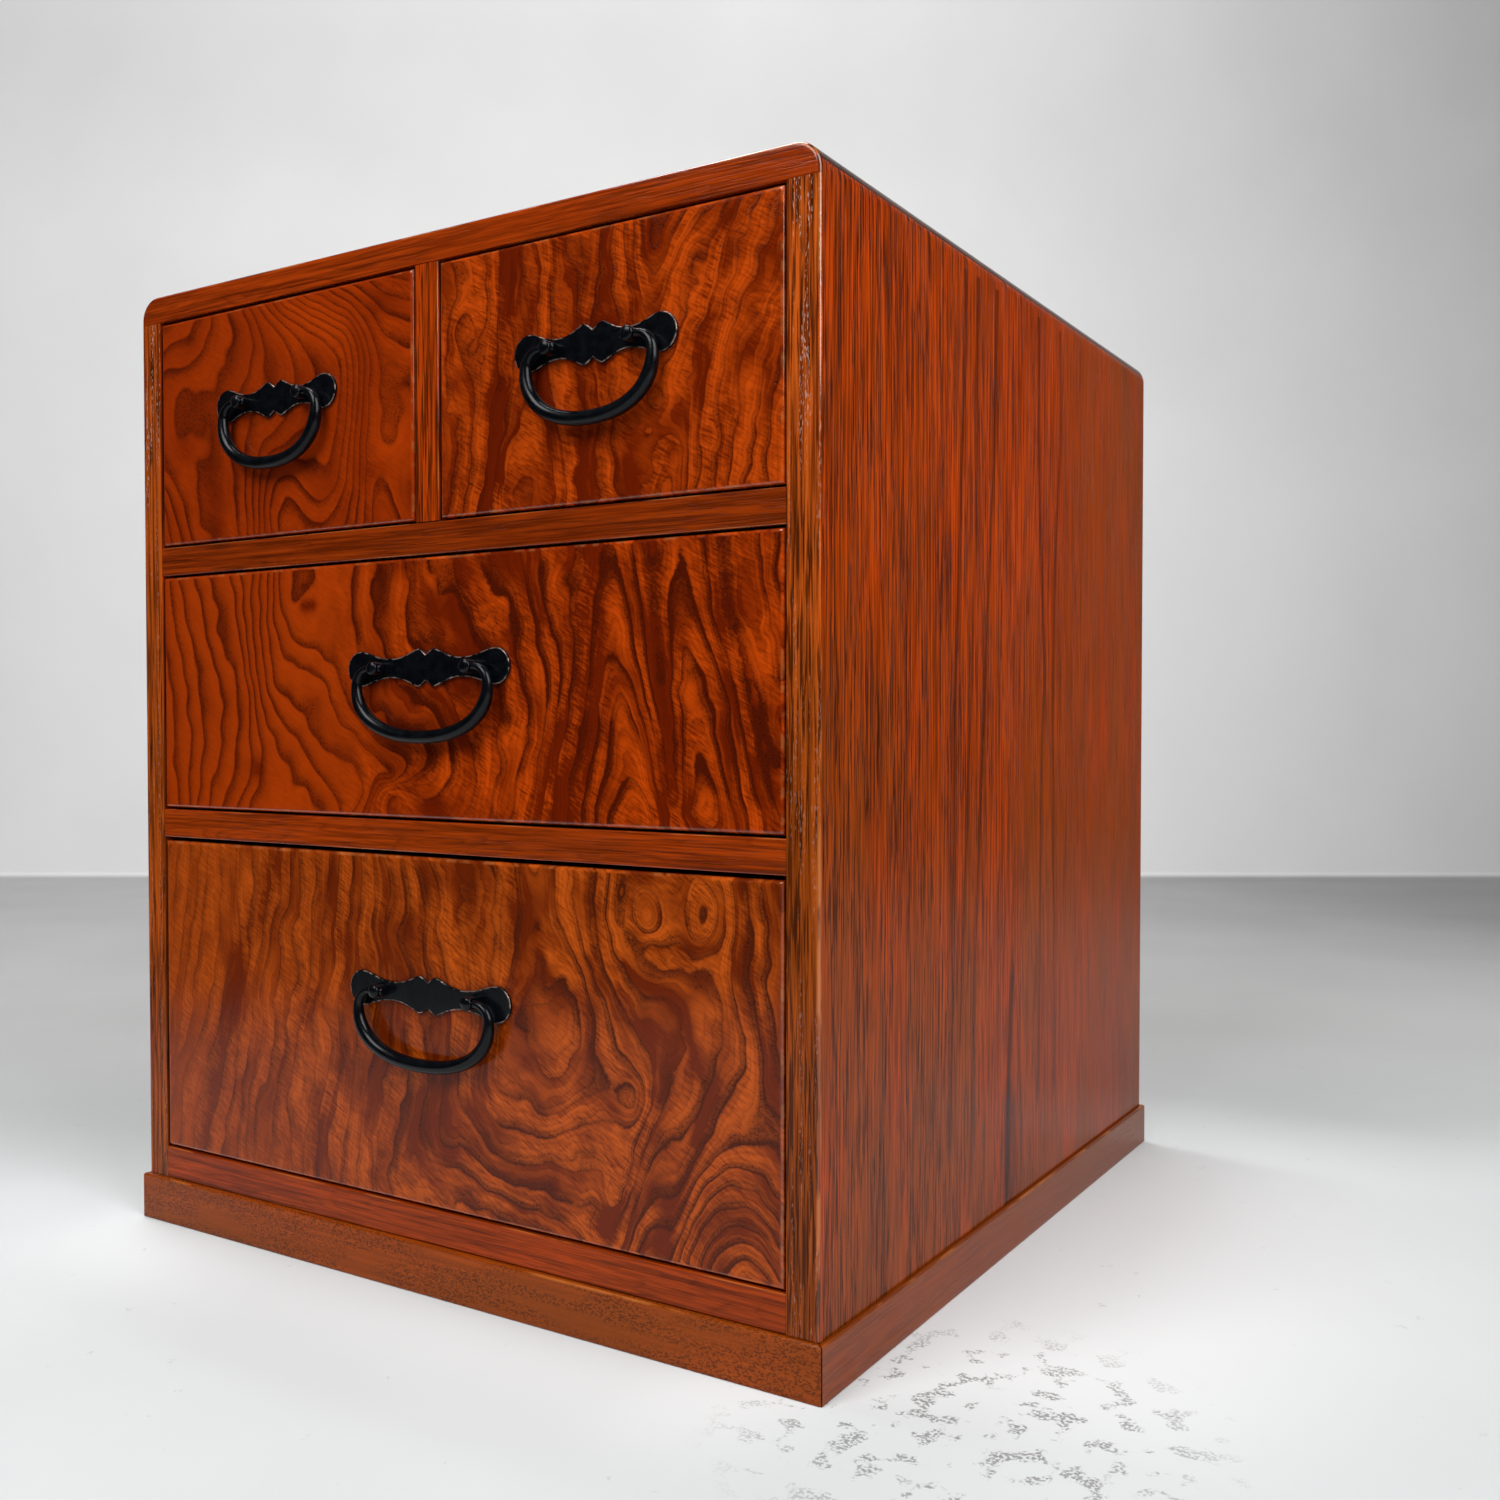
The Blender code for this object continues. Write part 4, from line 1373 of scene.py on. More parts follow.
FIGURES: dict[str, Figure] = {
    "top_left": Figure(
        burr=(-162, -6, 0.15, 0.35), ripples=(Ripple(45, 0.18, 1.2, 3), Ripple(14, 0.05, 1, 4)),
        lines=traced(
            (-3, -134, 401, -139, 395, -147, 392, -158, 392),
            (-2, -127, 400, -129, 391, -135, 384, -145, 380, -156, 383),
            (-1, -118, 402, -119, 390, -124, 380, -134, 373, -150, 371),
            (0, -107, 402, -102, 396, -101, 389, -104, 379, -113, 370, -119, 352, -117, 335, -115, 305),
            (1, -103, 401, -96, 392, -93, 384, -96, 375, -104, 364, -110, 348, -108, 330, -107, 305),
            (2, -94, 400, -80, 385, -74, 376, -74, 366, -82, 354, -98, 344, -102, 330, -102, 305),
            (3, -91, 401, -72, 384, -65, 376, -63, 368, -67, 352, -84, 342, -96, 334, -98, 305),
            (4, -84, 398, -63, 384, -54, 375, -51, 367, -51, 350, -56, 340, -75, 336, -89, 332, -94, 318,
             -94, 305),
            (5, -82, 401, -55, 383, -48, 375, -45, 366, -45, 345, -48, 326, -53, 320, -62, 320, -72, 325,
             -80, 328, -87, 321, -89, 306),
            (6, -77, 400, -51, 384, -44, 377, -42, 366, -42, 345, -45, 322, -53, 312, -66, 312, -75, 316,
             -82, 316, -85, 306),
            (7, -74, 401, -46, 385, -40, 378, -38, 367, -39, 345, -42, 318, -48, 304),
            (8, -68, 401, -43, 386, -37, 380, -35, 370, -36, 345, -38, 320, -42, 304),
            (9, -63, 401, -41, 388, -34, 380, -32, 370, -32, 345, -34, 320, -36, 304),
            (10, -56, 402, -38, 389, -29, 379, -21, 370, -11, 359),
            (11, -50, 402, -34, 391, -20, 382, -8, 373), (12, -44, 402, -28, 393, -8, 383),
            (10, -31, 305, -30, 322, -26, 328, -21, 326, -18, 316, -14, 305),
            (11, -28, 305, -27, 313, -24, 316, -21, 311, -19, 305),
            (-1, -129, 345, -134, 331, -130, 312, -126, 305),
            (-2, -161, 338, -153, 331, -146, 320, -139, 306), (-3, -161, 330, -155, 320, -149, 306),
            (-4, -161, 321, -156, 306)),
        bands=streaks(
            (7, -0.8, -130, 335, -126, 318, -125, 305), (8, -0.7, -146, 347), (5, -0.5, -30, 326, -24, 326),
            (8, -0.6, -14, 398, -25, 393), (12, 0.5, -20, 345, -14, 335), (10, 0.5, -75, 392, -55, 388))),
    "top_right": Figure(
        burr=(6, 162, 0.8, 0.9), ripples=(Ripple(24, 0.16, 1.6, 13), Ripple(10, 0.07, 1.2, 14)),
        lines=traced(
            (0, 9, 404, 12, 382, 10, 356, 13, 330, 11, 305),
            (1, 16, 376, 20, 381, 24, 376, 20, 371, 16, 376),
            (1, 27, 404, 28, 380, 23, 352, 21, 326, 18, 305),
            (2, 34, 404, 33, 390, 36, 374, 34, 350, 30, 326, 26, 305),
            (3, 44, 404, 45, 385, 43, 365, 39, 345, 36, 325, 34, 305),
            (4, 48, 404, 49, 386, 50, 368, 47, 345, 41, 328, 39, 305),
            (5, 44, 305, 46, 314, 51, 318, 56, 315, 59, 305),
            (5, 53, 404, 55, 390, 55, 374, 56, 350, 58, 335, 63, 320, 64, 305),
            (6, 59, 404, 61, 391, 58, 378, 61, 360, 64, 340, 68, 322, 69, 305),
            (7, 71, 404, 71, 390, 75, 376, 73, 355, 71, 335, 73, 318, 73, 305),
            (8, 80, 404, 83, 390, 79, 376, 82, 352, 84, 332, 82, 318, 84, 305),
            (9, 90, 404, 88, 390, 92, 376, 88, 352, 89, 328, 94, 305),
            (10, 96, 404, 96, 382, 99, 356, 98, 336, 100, 318, 99, 305),
            (11, 99, 404, 100, 388, 104, 368, 110, 369, 120, 385, 133, 404),
            (12, 103, 404, 104, 390, 107, 376, 112, 381, 118, 394, 125, 404),
            (13, 105, 404, 107, 392, 109, 386, 113, 393, 118, 404),
            (11, 112, 305, 114, 318, 119, 321, 119, 305),
            (10, 143, 404, 131, 385, 121, 364, 116, 345, 112, 326, 106, 305),
            (9, 149, 404, 138, 385, 129, 364, 125, 345, 123, 325, 121, 305),
            (8, 156, 404, 146, 385, 136, 362, 131, 342, 128, 322, 127, 305),
            (7, 161, 395, 151, 378, 143, 360, 138, 340, 136, 320, 135, 305),
            (6, 161, 376, 152, 358, 146, 340, 142, 322, 140, 305),
            (5, 161, 358, 155, 342, 151, 322, 148, 305), (4, 161, 340, 157, 325, 155, 305)),
        bands=streaks(
            (15, 0.35, 16, 398, 18, 350, 16, 325), (4.5, -0.9, 42, 400, 41, 375, 36, 345, 33, 310),
            (4, -0.8, 76, 368, 75, 335, 75, 306), (4, -0.8, 97, 338, 99, 306),
            (3.5, -0.8, 138, 396, 131, 368, 129, 338, 131, 306), (3, -0.6, 141, 334, 137, 306),
            (6, -0.6, 62, 396), (8, -0.5, 20, 316), (2.5, 0.8, 47, 386, 48, 370), (4, 0.6, 84, 386),
            (5, 0.7, 108, 385), (4, 0.7, 113, 342), (4, 0.7, 148, 338, 145, 310), (3, 0.6, 117, 315),
            (3, 0.7, 43, 338, 39, 328), (5, 0.5, 8, 350, 10, 330), (4, 0.5, 66, 312),
            (4, 0.5, 140, 372, 150, 392))),
    "middle": Figure(
        burr=(-60, 0, 0.08, 1), ripples=(Ripple(30, 0.1, 1.4, 23), Ripple(12, 0.05, 1.2, 24)),
        lines=traced(
            (-1, -161, 262, -157, 240, -156, 222, -155, 205, -154, 189),
            (0, -160, 289, -154, 269, -151, 254, -148, 239, -146, 224, -146, 189),
            (1, -153, 290, -149, 278, -145, 262, -140, 243, -137, 228, -137, 216, -140, 189),
            (2, -142, 290, -138, 279, -134, 268, -125, 243, -123, 231, -124, 218, -131, 189),
            (3, -133, 290, -127, 269, -118, 251, -113, 236, -113, 224, -117, 207, -124, 189),
            (4, -117, 290, -114, 272, -108, 252, -104, 233, -104, 208, -110, 195, -115, 189),
            (5, -110, 290, -109, 274, -104, 247, -101, 230, -98, 219, -96, 209, -99, 200, -106, 194),
            (6, -103, 290, -104, 276, -101, 249, -97, 229, -86, 209, -81, 198, -73, 195, -64, 190),
            (7, -98, 290, -98, 265, -95, 244, -90, 229, -75, 212, -60, 202, -53, 191),
            (8, -92, 290, -93, 262, -90, 240, -78, 232, -68, 230, -60, 215, -48, 208, -36, 197),
            (9, -89, 290, -90, 268, -85, 253, -73, 250, -62, 245, -56, 238, -51, 224, -43, 221, -30, 209,
             -20, 203),
            (10, -85, 290, -86, 274, -80, 260, -62, 252, -50, 243, -45, 231, -36, 222, -24, 215, -12, 211),
            (11, -73, 274, -68, 277, -62, 274, -67, 271, -73, 274),
            (11, -41, 290, -41, 260, -38, 244, -28, 228, -10, 221),
            (12, -29, 290, -30, 268, -26, 250, -15, 236, 4, 226),
            (13, -12, 290, -12, 262, -6, 248, 8, 236, 20, 222, 22, 206, 18, 190),
            (13, -24, 190, -21, 200, -17, 198, -14, 190),
            (14, -2, 290, 4, 278, 18, 266, 26, 254, 34, 240, 36, 222, 34, 206, 30, 190),
            (15, 24, 290, 30, 278, 38, 262, 44, 248, 48, 228, 47, 212, 42, 196),
            (16, 44, 290, 47, 278, 52, 262, 58, 246, 58, 226, 54, 208, 50, 190),
            (17, 58, 290, 57, 275, 61, 258, 66, 246, 64, 228, 60, 208, 56, 190),
            (18, 71, 290, 71, 268, 71, 250, 68, 228, 64, 208, 60, 190),
            (19, 81, 290, 81, 268, 79, 245, 75, 222, 70, 204, 66, 190),
            (20, 87, 250, 90, 272, 94, 258, 104, 222, 113, 192), (20, 87, 250, 83, 228, 79, 204, 75, 190),
            (21, 88, 226, 94, 240, 99, 230, 106, 211, 112, 192), (21, 88, 226, 85, 208, 82, 190),
            (22, 88, 192, 95, 206, 100, 212, 105, 203, 110, 191),
            (19, 92, 290, 97, 272, 103, 246, 111, 214, 115, 192),
            (18, 99, 290, 103, 272, 109, 240, 114, 205, 116, 190),
            (17, 107, 290, 109, 262, 113, 230, 116, 200),
            (18, 116, 290, 114, 262, 115, 236, 117, 205, 118, 190),
            (19, 117, 236, 118, 246, 122, 256, 127, 248, 134, 226, 141, 200, 143, 190),
            (19, 117, 236, 119, 210, 120, 192), (20, 123, 194, 126, 210, 130, 219, 134, 208, 137, 192),
            (18, 122, 290, 124, 278, 130, 262, 138, 238, 144, 214, 148, 192),
            (17, 130, 290, 133, 272, 141, 244, 148, 216, 154, 192),
            (16, 137, 290, 138, 272, 146, 244, 154, 214, 160, 194),
            (17, 146, 288, 144, 262, 148, 268, 151, 262, 157, 236, 161, 220),
            (16, 153, 290, 153, 272, 155, 256, 161, 240)),
        bands=streaks(
            (9, -0.8, 80, 290, 79, 265, 73, 235, 69, 205, 67, 190), (5, 0.6, 94, 232, 98, 215, 103, 200),
            (4, 0.6, 124, 246, 127, 232), (4, 0.5, 128, 210, 130, 198), (4, 0.6, 117, 285, 119, 265),
            (5, 0.6, 155, 206, 158, 196), (5, -0.9, 107, 290, 109, 262, 113, 225, 114, 190),
            (5, -0.8, 131, 290, 136, 268, 144, 240, 152, 212, 157, 192),
            (9, -0.6, 20, 282, 24, 262, 32, 250), (8, 0.7, 36, 200, 42, 208, 50, 220),
            (6, 0.7, 58, 245, 62, 232), (6, 0.6, 5, 283), (5, 0.7, 65, 278), (4, 0.7, 146, 255, 151, 235),
            (4, 0.6, 92, 262, 97, 248), (5, -0.8, -99, 206), (3, -1, -70, 274, -65, 274),
            (1.8, -0.8, -71, 282, -69, 282), (5, 0.6, -35, 285, -36, 262), (5, 0.6, -17, 280, -17, 262),
            (10, -0.4, 40, 235, 30, 225), (7, 0.5, 12, 200, 8, 212))),
    "bottom": Figure(
        burr=(-162, 20, 0.35, 1), ripples=(Ripple(26, 0.1, 1.4, 33), Ripple(11, 0.05, 1.2, 34)),
        lines=traced(
            (0, -153, 172, -155, 150, -159, 130, -161, 110),
            (1, -145, 172, -147, 150, -151, 132, -156, 110, -160, 90),
            (2, -138, 172, -140, 152, -146, 130, -150, 110, -153, 90, -160, 70),
            (3, -132, 172, -136, 150, -140, 128, -145, 104, -147, 88, -155, 74, -161, 58),
            (4, -125, 172, -127, 150, -128, 130, -131, 112, -136, 96, -143, 82, -151, 64, -155, 40),
            (5, -117, 172, -118, 156, -117, 134, -121, 114, -127, 94, -134, 76, -141, 56, -145, 37),
            (6, -112, 172, -114, 158, -112, 145, -112, 126, -116, 104, -123, 84, -130, 62, -136, 37),
            (7, -104, 172, -104, 150, -107, 136, -108, 114, -112, 92, -119, 70, -126, 37),
            (8, -92, 172, -95, 152, -98, 136, -104, 115, -106, 96, -108, 76, -112, 56, -116, 37),
            (9, -85, 172, -88, 152, -93, 138, -96, 124, -101, 115, -98, 102, -102, 86, -104, 70, -107, 52,
             -110, 37),
            (10, -79, 172, -82, 150, -88, 138, -86, 124, -88, 108, -93, 92, -96, 76, -103, 64, -104, 48,
             -104, 37),
            (11, -75, 172, -74, 156, -75, 143, -80, 136, -78, 122, -82, 102, -85, 84, -90, 68, -95, 58,
             -96, 37),
            (12, -66, 172, -65, 156, -67, 142, -69, 126, -72, 108, -76, 92, -80, 76, -86, 60, -82, 50, -80,
             37),
            (13, -57, 172, -59, 154, -61, 140, -62, 126, -66, 108, -71, 91, -66, 86, -68, 68, -72, 52, -73,
             37),
            (14, -50, 172, -52, 154, -55, 137, -53, 124, -62, 108, -57, 100, -58, 86, -62, 70, -65, 52,
             -66, 37),
            (15, -43, 172, -45, 154, -47, 136, -48, 120, -52, 104, -50, 88, -54, 72, -58, 52, -59, 37),
            (16, -37, 172, -40, 152, -40, 139, -41, 124, -43, 104, -42, 88, -46, 70, -50, 55, -51, 37),
            (17, -30, 172, -31, 156, -33, 141, -29, 130, -31, 110, -33, 90, -38, 70, -40, 54, -42, 37),
            (18, -24, 172, -23, 156, -25, 144, -22, 130, -23, 108, -24, 88, -28, 72, -32, 56, -33, 37),
            (19, -17, 172, -15, 154, -17, 140, -12, 126, -14, 106, -15, 88, -18, 66, -22, 52, -26, 40),
            (20, -8, 172, -5, 156, -6, 140, -3, 124, -4, 104, -3, 84, -7, 66, -4, 54, 8, 50, 20, 48, 35,
             45, 50, 42, 62, 40, 75, 38),
            (21, 0, 172, 4, 158, 3, 142, 8, 128, 8, 108, 6, 88, 5, 70, 10, 61, 20, 57, 32, 53, 45, 50, 58,
             49, 68, 46, 78, 48, 86, 49, 89, 46, 85, 38),
            (22, 14, 172, 14, 152, 16, 136, 20, 118, 18, 100, 15, 84, 18, 70, 29, 63, 38, 58, 50, 59, 62,
             60, 72, 60, 80, 62, 88, 63, 92, 60, 91, 54, 87, 46, 83, 38),
            (23, 30, 172, 32, 150, 33, 130, 31, 112, 26, 96, 24, 84, 28, 77, 34, 73, 43, 70, 55, 68, 66,
             72, 78, 76, 86, 79, 91, 82, 97, 80, 99, 74, 96, 64, 91, 52, 86, 40),
            (24, 43, 172, 44, 152, 43, 138, 37, 124, 33, 108, 31, 96, 33, 88, 38, 84, 47, 83, 52, 79, 60,
             79, 70, 83, 80, 88, 88, 94, 95, 98, 100, 95, 101, 87),
            (25, 50, 172, 51, 150, 50, 134, 44, 118, 42, 106, 47, 98, 57, 95, 68, 97, 76, 104, 78, 119, 74,
             126, 66, 129, 59, 132, 56, 140, 54, 150, 53, 172),
            (24, 64, 172, 66, 155, 72, 143, 79, 132, 83, 120, 84, 108, 87, 101, 92, 99),
            (23, 74, 172, 75, 152, 80, 138, 87, 126, 92, 114, 97, 106, 103, 99, 104, 92, 101, 84),
            (22, 83, 172, 83, 152, 86, 140, 91, 130, 97, 120, 104, 113, 108, 106, 108, 98, 104, 88, 101,
             78, 97, 66, 92, 54, 88, 42),
            (21, 89, 172, 88, 156, 90, 147, 95, 138, 103, 133, 112, 131, 120, 127, 123, 118, 124, 109, 122,
             99, 117, 91, 110, 85, 104, 72, 98, 58, 92, 42),
            (20, 95, 172, 94, 160, 97, 152, 103, 148, 115, 147, 125, 146, 133, 147, 138, 138, 138, 120,
             137, 108, 132, 100, 126, 88, 121, 78, 116, 76, 110, 71, 104, 60, 98, 46, 95, 38),
            (21, 98, 156, 99, 165, 105, 169, 111, 164, 113, 156, 108, 149, 102, 150, 98, 156),
            (22, 103, 157, 104, 163, 108, 162, 108, 155, 103, 157),
            (21, 121, 158, 123, 168, 129, 172, 135, 166, 136, 156, 130, 148, 124, 150, 121, 158),
            (22, 126, 160, 128, 167, 131, 165, 132, 157, 128, 154, 126, 160),
            (19, 141, 172, 143, 152, 141, 140, 143, 128, 148, 117, 150, 111, 146, 104, 141, 101, 136, 92,
             130, 80, 124, 67, 119, 58, 112, 58, 106, 52, 100, 41),
            (18, 148, 172, 150, 152, 149, 138, 152, 124, 155, 108, 158, 98, 161, 90),
            (17, 154, 172, 156, 150, 156, 132, 161, 110),
            (18, 117, 46, 122, 58, 129, 70, 138, 77, 148, 79, 155, 77, 161, 72),
            (18, 101, 37, 104, 43, 107, 45, 110, 42, 112, 37),
            (17, 116, 38, 121, 50, 128, 62, 136, 70, 146, 73, 154, 70, 161, 64),
            (16, 121, 42, 127, 54, 135, 63, 145, 66, 154, 63, 161, 56),
            (15, 124, 38, 130, 50, 138, 58, 146, 60, 154, 56, 160, 48),
            (14, 130, 42, 138, 51, 147, 54, 154, 50, 160, 42),
            (13, 134, 40, 141, 46, 148, 48, 154, 44, 158, 38), (12, 141, 39, 147, 42, 152, 40, 155, 37)),
        bands=streaks(
            # The first two broad streaks are painted shade along the lower part and painted light at the
            # upper right.
            (38, -0.22, -130, 60, -40, 52, 30, 44, 110, 40), (34, 0.22, 70, 150, 125, 145),
            (6, -0.8, -88, 166, -97, 146, -110, 128, -118, 100, -126, 75, -137, 38),
            (6, -0.7, -54, 160, -52, 146, -50, 136), (5, -0.6, -68, 112, -75, 96, -86, 82),
            (5, -0.6, -48, 92, -56, 74, -66, 42), (6, -0.6, 20, 168, 18, 152),
            (4, -0.9, 107, 95, 103, 80, 98, 65, 92, 52, 87, 40),
            (4, -0.9, 135, 100, 130, 88, 124, 72, 117, 58, 110, 40),
            (4, -0.6, 84, 172, 82, 140, 81, 120, 80, 105),
            (4.5, -0.9, 145, 172, 146, 150, 149, 130, 154, 110, 158, 92),
            (2.5, -0.8, 97, 151, 104, 147, 116, 146, 126, 146, 133, 148),
            (2.2, -0.9, 95, 138, 103, 133, 112, 131, 120, 127, 123, 118, 125, 108, 129, 101),
            (2, -0.7, 92, 129, 98, 119, 105, 112, 108, 104),
            (2.2, -0.9, 56, 140, 60, 132, 67, 129, 74, 126, 77, 120), (5, -0.8, 43, 164, 48, 150),
            (5, -0.5, 50, 99, 62, 98), (6, 0.8, 105, 162, 107, 154),
            (3, 0.8, 95, 144, 104, 139, 114, 137, 122, 134), (5, 0.9, 129, 129, 133, 126),
            (3, 0.7, 100, 128, 108, 124, 115, 120), (3, 0.6, 100, 114, 104, 106),
            (3, 0.6, 128, 117, 134, 110), (3, 0.6, 142, 117, 149, 110), (7, 0.6, 144, 92, 148, 88),
            (5, 0.7, 116, 85, 121, 80), (4.5, 0.6, 114, 68, 117, 64), (4, 0.5, 107, 50, 112, 49),
            (4, 0.6, 95, 91, 97, 86), (4.5, 0.7, 92, 76, 95, 72), (4.5, 0.7, 80, 56, 89, 54),
            (4, 0.5, 82, 41), (5, 0.6, 67, 116, 69, 110), (4, 0.5, 60, 108), (4, 0.7, 61, 138, 67, 133),
            (5, 0.6, 51, 90, 57, 86), (4, 0.7, 37, 172, 38, 150, 37, 135), (3, 0.6, 47, 167, 47, 160),
            (1.8, 0.6, 151, 165, 152, 150, 154, 138, 157, 125), (6, 0.6, -106, 158),
            (5, 0.6, -92, 126, -94, 112), (5, 0.6, -60, 98, -60, 82), (6, 0.6, -42, 60, -40, 48),
            (5, 0.6, -55, 122, -56, 112))),
}


@dataclass
class Drawer:
    """One drawer: a figured front that laps the box, and the pale box behind it."""

    name: str
    edge: float = 0.0015
    lap: float = 0.006
    thick: float = 0.015
    side: float = 0.0083
    pitch: float = 0.0010
    gap: float = 0.0003
    boards: ClassVar[dict[str, Grain]] = {"side_left": Grain.INWARD, "side_right": Grain.INWARD,
                                          "back": Grain.LEVEL, "bottom": Grain.LEVEL}

    def build(self, finish: Material, bare: dict[Grain, Material]) -> None:
        """Build the front, and give the drawer's own sides, back and bottom their pale wood.

        Args:
            finish: the front's material.
            bare: the box's materials by the way their fibres run.
        """
        self.build_front(finish)
        for board, grain in self.boards.items():
            dress_node(f"{self.name}_drawer_{board}", bare[grain])

    def build_front(self, finish: Material) -> None:
        """Front: a rectangle with rounded face edges, stepped back behind the lap to clear the box.

        Args:
            finish: its material.
        """
        node = f"{self.name}_drawer_front"
        low, high = node_box(node)
        floor = node_box(f"{self.name}_drawer_bottom")[1][2] - low[2] + self.gap
        outline = Panel((low[0], low[2]), (high[0], high[2]), (self.pitch, self.pitch))
        inner = (self.side, self.side, floor, 0.0)
        stations = round_over(self.edge, ALL_SIDES)
        stations += [Station(NO_SIDES, self.lap), Station(inner, self.lap), Station(inner, self.thick)]
        piece = slab(outline, stations, Facing.FRONT, low[1]).finish(f"{self.name}_figured_front")
        FIGURES[self.name].mark(piece)
        dress(piece, finish, f"{self.name}_drawer", (node,))


@dataclass(frozen=True)
class BatWing:
    """The handle plate's outline: round lobes, waists and notched peaks, the same above and below."""

    centre: Pair
    length: float
    lobe: float = 0.0070
    waist: float = 0.0038
    peak: float = 0.0074
    peak_offset: float = 0.0042
    notch: float = 0.0050
    waist_share: float = 0.45
    notch_pull: float = 2 / 3
    peak_pull: float = 0.15
    waist_pull: float = 0.5
    lobe_pull: float = 0.27
    round_pull: float = 0.5523
    curve_points: int = 15
    rows: int = 9

    def upper(self) -> tuple[Array, Array]:
        """Lay out the upper edge from the left end to the right one.

        Each stretch is a cubic curve between its end points and their handles: notch to peak, peak to
        waist, waist to lobe, lobe to end; the left half is the mirror of the right one.

        Returns:
            The edge's points, and its inward normals.
        """
        end = self.length / 2
        lobe_x = end - self.lobe
        waist_x = self.peak_offset + self.waist_share * (lobe_x - self.peak_offset)
        rise, swell = waist_x - self.peak_offset, lobe_x - waist_x
        bow = self.round_pull * self.lobe
        stretches = np.array([
            [(0, self.notch), (0, self.notch),
             (self.peak_offset * self.notch_pull, self.peak), (self.peak_offset, self.peak)],
            [(self.peak_offset, self.peak), (self.peak_offset + self.peak_pull * rise, self.peak),
             (waist_x - self.waist_pull * rise, self.waist), (waist_x, self.waist)],
            [(waist_x, self.waist), (waist_x + self.waist_pull * swell, self.waist),
             (lobe_x - self.lobe_pull * swell, self.lobe), (lobe_x, self.lobe)],
            [(lobe_x, self.lobe), (lobe_x + bow, self.lobe), (end, bow), (end, 0)]])
        share = np.linspace(0.0, 1.0, self.curve_points)[:, None]
        weights = np.stack([(1 - share) ** 3, 3 * share * (1 - share) ** 2,
                            3 * share ** 2 * (1 - share), share ** 3], -1)
        curves = (weights @ stretches[:, None]).squeeze(2)
        right = np.concatenate([curves[0], *(curve[1:] for curve in curves[1:])])
        left = (right * (-1, 1))[:0:-1]
        line = np.concatenate([left, right])
        along = np.gradient(line, axis=0)
        normal = np.stack([along[:, 1], -along[:, 0]], -1)
        normal[0], normal[-1] = (1, 0), (-1, 0)
        normal[len(left)] = (0, -1)
        return line, normal / np.linalg.norm(normal, axis=1, keepdims=True)

    def sheet(self, inset: Sides) -> Array:
        """Return the grid: straight lines from the lower edge up to the upper one.

        Args:
            inset: how far the edge is drawn in, the same on all sides.

        Returns:
            Points across and up, with a last axis of two.
        """
        line, normal = self.upper()
        upper = line + inset[0] * normal
        upper[:, 1] = np.maximum(upper[:, 1], 0.0)
        lower = upper * (1, -1)
        share = np.linspace(0.0, 1.0, self.rows)[None, :, None]
        return lower[:, None] + share * (upper - lower)[:, None] + np.array(self.centre)


